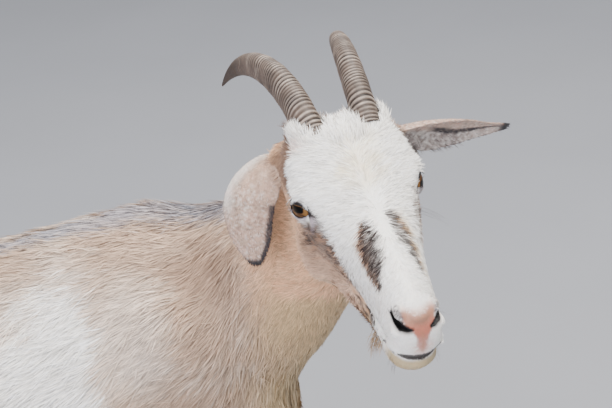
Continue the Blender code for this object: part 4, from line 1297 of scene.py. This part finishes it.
def stretched(tree, value, low, high):
    """A value from 0 to 1 brought to another span."""
    return node(tree, "ShaderNodeMapRange", [(value, "Value")], To_Min=low, To_Max=high).outputs[0]


def scaled(tree, colour, factor):
    """A colour made lighter or darker."""
    return node(tree, "ShaderNodeVectorMath", [(colour, 0), (factor, "Scale")], operation="SCALE").outputs[0]


def relief(tree, height, strength):
    """A bump half a millimetre high at full strength."""
    return node(tree, "ShaderNodeBump", [(height, "Height")], Strength=strength, Distance=0.0005).outputs[0]


def both(tree, operation, first, second):
    """A sum or a product of two values."""
    return node(tree, "ShaderNodeMath", [(first, 0), (second, 1)], operation=operation).outputs[0]


def hair_material():
    """Goat hair, dry and matt with a soft sheen: each blade carries its own tone, darker at the root as
    painted shade within the coat.
    """
    material, tree = new_material("goat_hair_combed")
    tint = node(tree, "ShaderNodeAttribute", attribute_name="tint")
    place_on = node(tree, "ShaderNodeTexCoord")
    fine = object_noise(tree, place_on, 420.0, 2.0).outputs["Fac"]
    toned = scaled(tree, tint.outputs["Color"], stretched(tree, fine, 0.86, 1.14))
    rough = stretched(tree, fine, 0.52, 0.72)
    shader(tree, {"Specular IOR Level": 0.28, "Sheen Weight": 0.12, "Sheen Roughness": 0.5},
           [(toned, "Base Color"), (rough, "Roughness")])
    return material


def skin_material():
    """Goat skin under short fur, and the damp leather of the nose: fine pores and creases about 0.8 mm."""
    material, tree = new_material("goat_skin_short_fur")
    tint = node(tree, "ShaderNodeAttribute", attribute_name="tint")
    place_on = node(tree, "ShaderNodeTexCoord")
    pores = node(tree, "ShaderNodeTexVoronoi", [(place_on.outputs["Object"], "Vector")], Scale=900.0)
    creases = object_noise(tree, place_on, 380.0, 3.0).outputs["Fac"]
    toned = scaled(tree, tint.outputs["Color"], stretched(tree, creases, 0.80, 1.10))
    bump = relief(tree, both(tree, "ADD", pores.outputs["Distance"], creases), 0.35)
    rough = stretched(tree, creases, 0.42, 0.62)
    shader(tree, {"Specular IOR Level": 0.4, "Subsurface Weight": 0.08, "Subsurface Scale": 0.003},
           [(toned, "Base Color"), (rough, "Roughness"), (bump, "Normal")])
    return material


def horn_material():
    """Keratin grown in rings: grey-brown, pale on the ridges as a painted highlight and dark in the grooves
    as painted shade, faintly streaked.
    """
    material, tree = new_material("horn_keratin_ringed")
    tint = node(tree, "ShaderNodeAttribute", attribute_name="tint")
    place_on = node(tree, "ShaderNodeTexCoord")
    streak = object_noise(tree, place_on, 260.0, 4.0).outputs["Fac"]
    toned = scaled(tree, tint.outputs["Color"], stretched(tree, streak, 0.50, 1.45))
    bump = relief(tree, object_noise(tree, place_on, 900.0, 2.0).outputs["Fac"], 0.4)
    rough = stretched(tree, streak, 0.42, 0.66)
    shader(tree, {"Specular IOR Level": 0.45},
           [(toned, "Base Color"), (rough, "Roughness"), (bump, "Normal")])
    return material


def eye_material():
    """A goat's eye: amber iris with radial fibres, a level slot of a pupil set high so that it also paints
    the upper lid's shade, wet clear cornea over it.
    """
    material, tree = new_material("eye_wet_amber")
    place_on = node(tree, "ShaderNodeTexCoord")
    parts = node(tree, "ShaderNodeSeparateXYZ", [(place_on.outputs["Object"], 0)])
    flat = node(tree, "ShaderNodeCombineXYZ", [(parts.outputs["X"], 0), (parts.outputs["Y"], 1)])
    reach = node(tree, "ShaderNodeVectorMath", [(flat.outputs[0], 0)], operation="LENGTH")
    way = node(tree, "ShaderNodeVectorMath", [(flat.outputs[0], 0)], operation="NORMALIZE")
    fibres = node(tree, "ShaderNodeTexNoise", [(way.outputs[0], "Vector")], Scale=9.0, Detail=3.0)
    share = node(tree, "ShaderNodeMapRange", [(reach.outputs["Value"], "Value")], From_Max=IRIS * 1.25)
    rings = node(tree, "ShaderNodeValToRGB", [(share.outputs[0], "Fac")])
    stops = rings.color_ramp.elements
    while len(stops) < len(IRIS_RINGS):
        stops.new(1.0)
    for stop, (position, colour) in zip(stops, IRIS_RINGS):
        stop.position = position
        stop.color = rgba(colour)
    toned = scaled(tree, rings.outputs["Color"], stretched(tree, fibres.outputs["Fac"], 0.55, 1.45))
    powers = []
    for axis, (shift, half) in zip("XY", PUPIL_AND_LID_SHADE):
        moved = node(tree, "ShaderNodeMath", [(parts.outputs[axis], 0)], operation="SUBTRACT")
        moved.inputs[1].default_value = shift
        share_of = node(tree, "ShaderNodeMath", [(moved.outputs[0], 0)], operation="DIVIDE")
        share_of.inputs[1].default_value = half
        squared = both(tree, "MULTIPLY", share_of.outputs[0], share_of.outputs[0])
        powers.append(both(tree, "MULTIPLY", squared, squared))
    summed = both(tree, "ADD", *powers)
    outside = node(tree, "ShaderNodeMapRange", [(summed, "Value")], From_Min=0.7, From_Max=1.3)
    shader(tree, {"Roughness": 0.35, "Specular IOR Level": 0.1, "Coat Weight": 0.18, "Coat Roughness": 0.03,
                  "Coat IOR": 1.38}, [(scaled(tree, toned, outside.outputs[0]), "Base Color")])
    return material


def hoof_material():
    """Hoof horn worn on stony ground: dark grey-brown, growth lines 3 mm apart, pale chips low down."""
    material, tree = new_material("hoof_horn_worn")
    place_on = node(tree, "ShaderNodeTexCoord")
    parts = node(tree, "ShaderNodeSeparateXYZ", [(place_on.outputs["Object"], 0)])
    grain = object_noise(tree, place_on, 180.0, 4.0).outputs["Fac"]
    low = node(tree, "ShaderNodeMapRange", [(parts.outputs["Z"], "Value")], From_Min=0.0, From_Max=0.035)
    wander = node(tree, "ShaderNodeMath", [(grain, 0), (low.outputs[0], 1)], operation="MULTIPLY_ADD")
    wander.inputs[2].default_value = 0.1
    tones = node(tree, "ShaderNodeValToRGB", [(wander.outputs[0], "Fac")])
    tones.color_ramp.elements[0].color = rgba("#8A7A66")
    tones.color_ramp.elements[1].color = rgba("#3C332D")
    tones.color_ramp.elements[1].position = 0.55
    lines = node(tree, "ShaderNodeTexWave", [(place_on.outputs["Object"], "Vector")], bands_direction="Z",
                 Scale=53.0, Distortion=1.5, Detail=2.0)
    bump = relief(tree, both(tree, "ADD", lines.outputs["Fac"], grain), 0.5)
    shader(tree, {"Specular IOR Level": 0.4},
           [(tones.outputs["Color"], "Base Color"), (stretched(tree, grain, 0.45, 0.75), "Roughness"),
            (bump, "Normal")])
    return material


def plain_material(name, code, roughness):
    """A matt painted studio surface with a faint roller texture."""
    material, tree = new_material(name)
    mottle = object_noise(tree, node(tree, "ShaderNodeTexCoord"), 3.0, 3.0).outputs["Fac"]
    colour = node(tree, "ShaderNodeRGB")
    colour.outputs[0].default_value = rgba(code)
    toned = scaled(tree, colour.outputs[0], stretched(tree, mottle, 0.95, 1.05))
    shader(tree, {"Roughness": roughness}, [(toned, "Base Color")])
    return material


MADE = {}


def material_named(key):
    """Each material is made once."""
    makers = {"hair": hair_material, "skin": skin_material, "horn": horn_material, "eye": eye_material,
              "hoof": hoof_material}
    if key not in MADE:
        MADE[key] = makers[key]()
    return MADE[key]


def dress(obj, material, replaced=()):
    """Gives a finished piece its material and body, and hides the solids that it stands for."""
    obj.data.materials.clear()
    obj.data.materials.append(material_named(material))
    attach(obj, "root")
    if replaced:
        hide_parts(*replaced)
    return obj


# ---- horns, eyes, hooves -----------------------------------------------------------------------------
HORN_LENGTH, HORN_SUNK, HORN_STEPS, HORN_AROUND, HORN_HALF = 0.2015, 0.020, 320, 44, (0.0124, 0.0152)
# The root and the way each horn leaves the skull (both as for a left horn), how far the plane of its curve
# leans outwards in degrees, and its curvature per metre at the root and the tip.
HORNS = {
    LEFT: ((-0.0609, 0.0249, 0.0403), (-0.884, 0.049, 0.464), 15.6, (8.17, 5.96)),
    RIGHT: ((-0.0620, 0.0241, 0.0380), (-0.893, 0.052, 0.447), 16.2, (8.12, 5.52)),
}
RING_APART, RING_HEIGHT = 0.0034, 0.0006
CORNEA = 0.0007                 # how far it bulges
GROWTH_LINES, GROWTH_HEIGHT = 0.0032, 0.00022           # of the hooves
# Colours of the iris from the middle to its edge.
IRIS_RINGS = ((0.0, "#22150D"), (0.32, "#5F4024"), (0.60, "#8A6439"), (0.74, "#4A3220"), (0.81, "#120C09"),
              (1.0, "#1C1614"))
# The pupil sits high on the iris: its black is partly the pupil and partly painted shade of the upper lid
# over the eye.
IRIS, PUPIL_AND_LID_SHADE = 0.0104, ((-0.0008, 0.0064), (0.0015, 0.0028))     # pupil: shift and half size, along and up


def horn_line(side, steps):
    """Points of a horn's middle, each with its direction, from the root to the tip, as for a left horn."""
    root, start, lean, curve = HORNS[side]
    direction = crown(*start).normalized()
    back = crown(-1, 0, 0)
    towards = (back - direction * back.dot(direction)).normalized()
    outwards = towards.cross(direction)
    if outwards.x < 0:
        outwards = -outwards
    lean = math.radians(lean)
    axis = direction.cross(math.cos(lean) * towards + math.sin(lean) * outwards)
    point = crown(*root) - direction * HORN_SUNK
    step = (HORN_LENGTH + HORN_SUNK) / steps
    line = []
    for i in range(steps + 1):
        line.append((point.copy(), direction.copy()))
        bend = curve[0] + (curve[1] - curve[0]) * i / steps
        point += direction * step
        direction = Matrix.Rotation(bend * step, 3, axis) @ direction
    return line, axis.normalized()


def ring_height(share, around, side):
    """Height of the growth rings of a horn, -1 to 1: uneven, strongest in front, gone at the tip."""
    distance = share * HORN_LENGTH
    wobble = 0.9 * math.sin(around + 1.3 * side) + 0.35 * math.sin(2 * around + 19 * share)
    phase = 2 * math.pi * (distance / RING_APART + 0.45 * math.sin(distance * 160) + 0.22 * wobble)
    sharp = math.sin(phase)
    sharp = math.copysign(abs(sharp) ** 0.7, sharp)
    strength = (1 - share) ** 0.6 * (0.70 + 0.30 * math.sin(distance * 310 + 2 * side))
    return sharp * strength


def side_name(stem, side):
    """The name of a left or right piece."""
    return stem + ("_left" if side == LEFT else "_right")


def horn_colour(points, share, height):
    """Pale ridges as a painted highlight and dark grooves as painted shade, darkening towards the tip."""
    # Noise that makes the painted highlight and shade uneven.
    worn = noise(points, 0.006, 85)
    colour = mix(all_of(HORN_BASE, points), HORN_HIGHLIGHT, ramp(height, 0.0, 0.7) * (0.72 + 0.45 * worn))
    colour = mix(colour, HORN_GROOVE_SHADE, ramp(-height, 0.0, 0.7) * (0.85 - 0.3 * worn))
    colour = mix(colour, HORN_TIP, ramp(share, 0.50, 0.85) * 0.85)
    return colour * (1 + 0.26 * noise(points, 0.012, 81) + 0.18 * noise(points, 0.003, 83))[:, None]


def build_horn(side):
    """A tapering horn, swept along its curve, with its growth rings in relief and in tone: a painted
    highlight on the ridges and painted shade in the grooves.
    """
    line, axis = horn_line(side, HORN_STEPS)
    bm = bmesh.new()

    def place_in(p):
        return Vector((side * p.x, p.y, p.z))

    rings, tints = [], []
    for i, (point, direction) in enumerate(line):
        share = i / HORN_STEPS
        taper = (1 - share ** 2.3) * 0.93 + 0.07
        keel = axis.cross(direction).normalized()
        ring = []
        for k in range(HORN_AROUND):
            angle = 2 * math.pi * k / HORN_AROUND
            height = ring_height(share, angle, side) * (0.75 - 0.25 * math.sin(angle))
            breadth = HORN_HALF[0] * taper * (1 - 0.10 * abs(math.cos(angle)) ** 3) + RING_HEIGHT * height
            depth = HORN_HALF[1] * taper + RING_HEIGHT * height
            p = point + axis * (breadth * math.cos(angle)) + keel * (depth * math.sin(angle))
            ring.append(bm.verts.new(HEAD_FRAME @ place_in(p)))
            tints.append((share, height))
        rings.append(ring)
    for low, high in zip(rings, rings[1:]):
        for k in range(HORN_AROUND):
            bm.faces.new((low[k - 1], low[k], high[k], high[k - 1]))
    bm.faces.new(rings[0])
    tip = bm.verts.new(sum((v.co for v in rings[-1]), Vector()) / HORN_AROUND
                       + HEAD_SPIN @ place_in(line[-1][1]) * 0.0008)
    tints.append((1.0, 0.0))
    for k in range(HORN_AROUND):
        bm.faces.new((rings[-1][k - 1], rings[-1][k], tip))
    bmesh.ops.recalc_face_normals(bm, faces=bm.faces)
    obj = object_from(side_name("horn_ringed", side), bm)
    share, height = np.array(tints).T
    colour = horn_colour(places(obj.data), share, height)
    add_tint(obj.data, np.concatenate([np.clip(colour, 0, 1), np.ones((len(colour), 1))], axis=1))
    return dress(obj, "horn", [side_name("horn", side)])


def build_eye(side):
    """A globe with the cornea's bulge, set where the frame's eye is."""
    _, ahead, _, out = eye_axes(side)
    turn = facing_matrix(HEAD_SPIN @ crown(*out), HEAD_SPIN @ crown(*ahead))
    bm = bmesh.new()
    bmesh.ops.create_uvsphere(bm, u_segments=64, v_segments=48, radius=EYE_RADIUS)
    for vert in bm.verts:
        reach = math.hypot(vert.co.x, vert.co.y)
        if vert.co.z > 0:
            vert.co.z += CORNEA * max(0.0, 1 - (reach / IRIS) ** 2)
    obj = object_from(side_name("eyeball", side), bm)
    obj.matrix_world = Matrix.Translation(middle(side_name("eye", side))) @ turn
    return dress(obj, "eye", [side_name("eye", side)])


def add_pastern(mesh, name):
    """The root of a claw, under the hair line, so that the two run into one."""
    low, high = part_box(name)
    centre = Vector(((low.x + high.x) / 2, (low.y + high.y) / 2 + 0.004, high.z - 0.008))
    size = Matrix.Diagonal(Vector((0.0085, 0.0190, 0.0110))).to_4x4()
    with edited(mesh) as bm:
        made = bmesh.ops.create_uvsphere(bm, u_segments=16, v_segments=10, radius=1)["verts"]
        bmesh.ops.transform(bm, verts=made, matrix=Matrix.Translation(centre) @ size)


def build_hooves(leg):
    """Both claws and dewclaws of a foot, rounded, with growth lines, reaching up under the hair line."""
    nodes = [f"{kind}_{leg}_{letter}" for kind in ("claw", "dewclaw") for letter in "ab"]
    bm = bmesh.new()
    for name in nodes:
        obj = flesh("claw", [name], grow=0)
        if name.startswith("claw"):
            add_pastern(obj.data, name)
        melt(obj, HOOF_VOXEL, 5)
        points, out = places(obj.data), directions(obj.data)
        ridge = np.sin(points[:, 2] * 2 * math.pi / GROWTH_LINES + 1.4 * noise(points, 0.012, 91))
        points = points + out * (GROWTH_HEIGHT * ridge * (np.abs(out[:, 2]) < 0.8))[:, None]
        points[:, 2] = np.maximum(points[:, 2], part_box(name)[0].z)
        place(obj.data, points)
        bm.from_mesh(obj.data)
        remove(obj)
    return dress(object_from("hooves_" + leg, bm), "hoof", nodes)


# ---- settings, operators and panel -------------------------------------------------------------------
class GoatCoatSettings(bpy.types.PropertyGroup):
    """How thick and long the coat is."""
    trunk_blades: IntProperty(name="Trunk blades", description="Hair blades on each of the trunk's pieces",
                              default=64000, min=1000, max=66000)
    face_blades: IntProperty(name="Face blades", description="Hair blades on each of the face's pieces",
                             default=56000, min=1000, max=66000)
    length: FloatProperty(name="Length", description="Length of the hair against this breed's own",
                          default=1.0, min=0.4, max=1.6, subtype="FACTOR")
    seed: IntProperty(name="Seed", description="Start of the random scatter", default=7)


class GoatStageSettings(bpy.types.PropertyGroup):
    """Floor, light and camera."""
    floor_colour: StringProperty(name="Floor colour", description="sRGB hex colour of the floor",
                                 default="#A0A2A8")
    light_power: FloatProperty(name="Light", description="Power of the main soft light", default=110.0,
                               unit="POWER")
    focal_length: FloatProperty(name="Lens", description="Camera's focal length in millimetres",
                                default=85.0, unit="CAMERA")


class GOAT_OT_skin(bpy.types.Operator):
    """Make the one skin that stands for the flesh and the ears"""
    bl_idname = "goat.skin"
    bl_label = "Skin"

    def execute(self, context):
        skin = joined_skin()
        coat = Coat(skin)
        colour = blended_colour(coat.points, coat.normals, coat.shares, for_skin=True)
        add_tint(skin.data, np.concatenate([colour, np.ones((len(colour), 1))], axis=1))
        dress(skin, "skin", FLESH + list(EARS))
        return {"FINISHED"}


class GOAT_OT_coat(bpy.types.Operator):
    """Grow the coat over the skin, in pieces by region"""
    bl_idname = "goat.coat"
    bl_label = "Coat"

    def execute(self, context):
        settings = context.scene.goat_coat
        coat = Coat(bpy.data.objects["skin"])
        trunk, face = settings.trunk_blades, settings.face_blades
        pieces = [
            (["trunk"], "coat", ("coat_trunk_a", "coat_trunk_b", "coat_trunk_c"), trunk,
             dict(lift=0.11, gather=0.42)),
            (["neck"], "coat", ("coat_neck",), 66000, dict(lift=0.10, width_scale=0.75)),
            (["legs"], "coat", ("coat_legs",), 60000, dict(lift=0.10, profile="legs", jitter=0.003)),
            (["tail"], "coat", ("coat_tail",), 9000, dict(lift=0.14, stray=0.16)),
            (["head"], "face_coat", ("coat_face_a", "coat_face_b"), face,
             dict(lift=0.07, profile="face", jitter=0.0011, gather=0.42, stray=0.10)),
            (list(EARS), "ear_velvet", ("coat_ears",), 26000,
             dict(lift=0.16, profile="ears", jitter=0.0006, gather=0.1)),
        ]
        seed = settings.seed
        for region, slot, names, blades, options in pieces:
            uv_of = unwrap(coat, region)
            for name in names:
                seed += 1
                made = grow(coat, name, region, blades, seed, scale=settings.length, **options)
                dress(build_blades(made, uv_of), "hair")
            if region == ["head"]:
                dress(build_blades(wisps(coat, "coat_wisps", seed + 100), uv_of), "hair")
        return {"FINISHED"}


class GOAT_OT_horns(bpy.types.Operator):
    """Make both ringed horns"""
    bl_idname = "goat.horns"
    bl_label = "Horns"

    def execute(self, context):
        for side in (LEFT, RIGHT):
            build_horn(side)
        return {"FINISHED"}


class GOAT_OT_eyes(bpy.types.Operator):
    """Make both eyes"""
    bl_idname = "goat.eyes"
    bl_label = "Eyes"

    def execute(self, context):
        for side in (LEFT, RIGHT):
            build_eye(side)
        return {"FINISHED"}


class GOAT_OT_hooves(bpy.types.Operator):
    """Make the hooves and dewclaws of the four feet"""
    bl_idname = "goat.hooves"
    bl_label = "Hooves"

    def execute(self, context):
        for leg in LEGS:
            build_hooves(leg)
        return {"FINISHED"}


# The lamps: place from the aim, size, share of the power and colour.
LAMPS = (("key", (-0.6, -0.6, 2.5), 1.6, 1.0, "#FFF8EE"), ("fill", (-1.9, 1.3, 1.1), 2.2, 0.75, "#F7F6FF"),
         ("rim", (1.4, -0.5, 2.3), 1.8, 0.5, "#FFFFFF"))
SKY, SKY_POWER = "#F3F5FA", 0.72
CAMERA_FROM_HEAD = (-1.0425, 0.2285, 0.4939)
CAMERA_ROLL, CAMERA_DROP, CAMERA_TURN = math.radians(5), math.radians(25), math.radians(10)
SENSOR_WIDTH = 36


def lay_floor(colour):
    """The stage's floor, just under the hooves."""
    bm = bmesh.new()
    bmesh.ops.create_grid(bm, x_segments=1, y_segments=1, size=12)
    floor = object_from("floor", bm)
    floor.location.z = CAD_BOX[0].z - 0.0005
    floor.data.materials.append(plain_material("studio_floor_paint", colour, 0.9))


def light_scene(scene, power):
    """An even sky and three soft lamps."""
    scene.world = bpy.data.worlds.new("studio")
    scene.world.use_nodes = True
    back = scene.world.node_tree.nodes["Background"]
    back.inputs["Color"].default_value = rgba(SKY)
    back.inputs["Strength"].default_value = SKY_POWER
    aim = HEAD_MIDDLE.lerp(Vector((SPINE_X, 0, 0.5)), 0.4)
    for name, offset, size, share, tone in LAMPS:
        lamp = bpy.data.lights.new(name, "AREA")
        lamp.shape = "DISK"
        lamp.size = size
        lamp.energy = power * share
        lamp.color = paint(tone)
        light = add_object(name, lamp)
        light.location = aim + Vector(offset)
        light.rotation_euler = (aim - light.location).to_track_quat("-Z", "Y").to_euler()


def set_camera(scene, focal_length):
    """The camera looks down on the head, a little rolled."""
    level = Vector((-math.sin(CAMERA_TURN), -math.cos(CAMERA_TURN), 0))
    ahead = Vector((math.cos(CAMERA_TURN), -math.sin(CAMERA_TURN), 0))
    raised = Vector((0, 0, math.cos(CAMERA_DROP))) + ahead * math.sin(CAMERA_DROP)
    along = ahead * math.cos(CAMERA_DROP) - Vector((0, 0, math.sin(CAMERA_DROP)))
    right = level * math.cos(CAMERA_ROLL) - raised * math.sin(CAMERA_ROLL)
    upright = level * math.sin(CAMERA_ROLL) + raised * math.cos(CAMERA_ROLL)
    lens = bpy.data.cameras.new("camera")
    lens.lens = focal_length
    lens.sensor_width = SENSOR_WIDTH
    lens.clip_end = 60
    camera = add_object("camera", lens)
    camera.matrix_world = Matrix.LocRotScale(HEAD_MIDDLE + Vector(CAMERA_FROM_HEAD),
                                             Matrix((right, upright, -along)).transposed(), None)
    scene.camera = camera


class GOAT_OT_stage(bpy.types.Operator):
    """Lay the floor and set the lights and the camera"""
    bl_idname = "goat.stage"
    bl_label = "Stage"

    def execute(self, context):
        settings = context.scene.goat_stage
        lay_floor(settings.floor_colour)
        light_scene(context.scene, settings.light_power)
        set_camera(context.scene, settings.focal_length)
        return {"FINISHED"}


OPERATORS = (GOAT_OT_skin, GOAT_OT_coat, GOAT_OT_horns, GOAT_OT_eyes, GOAT_OT_hooves, GOAT_OT_stage)


class GOAT_PT_looks(bpy.types.Panel):
    """The goat's pieces, in the order they are made"""
    bl_idname = "GOAT_PT_looks"
    bl_label = "Goat looks"
    bl_space_type = "VIEW_3D"
    bl_region_type = "UI"
    bl_category = "Goat"

    def draw(self, context):
        layout = self.layout
        for group in (context.scene.goat_coat, context.scene.goat_stage):
            for key in group.bl_rna.properties.keys():
                if key not in ("name", "rna_type"):
                    layout.prop(group, key)
        for operator in OPERATORS:
            layout.operator(operator.bl_idname)


CLASSES = (GoatCoatSettings, GoatStageSettings) + OPERATORS + (GOAT_PT_looks,)


def register():
    for cls in CLASSES:
        bpy.utils.register_class(cls)
    bpy.types.Scene.goat_coat = PointerProperty(type=GoatCoatSettings)
    bpy.types.Scene.goat_stage = PointerProperty(type=GoatStageSettings)


def unregister():
    del bpy.types.Scene.goat_stage
    del bpy.types.Scene.goat_coat
    for cls in reversed(CLASSES):
        bpy.utils.unregister_class(cls)


def main():
    register()
    bpy.ops.goat.skin()
    bpy.ops.goat.coat()
    bpy.ops.goat.horns()
    bpy.ops.goat.eyes()
    bpy.ops.goat.hooves()
    bpy.ops.goat.stage()


if __name__ == "__main__":
    main()
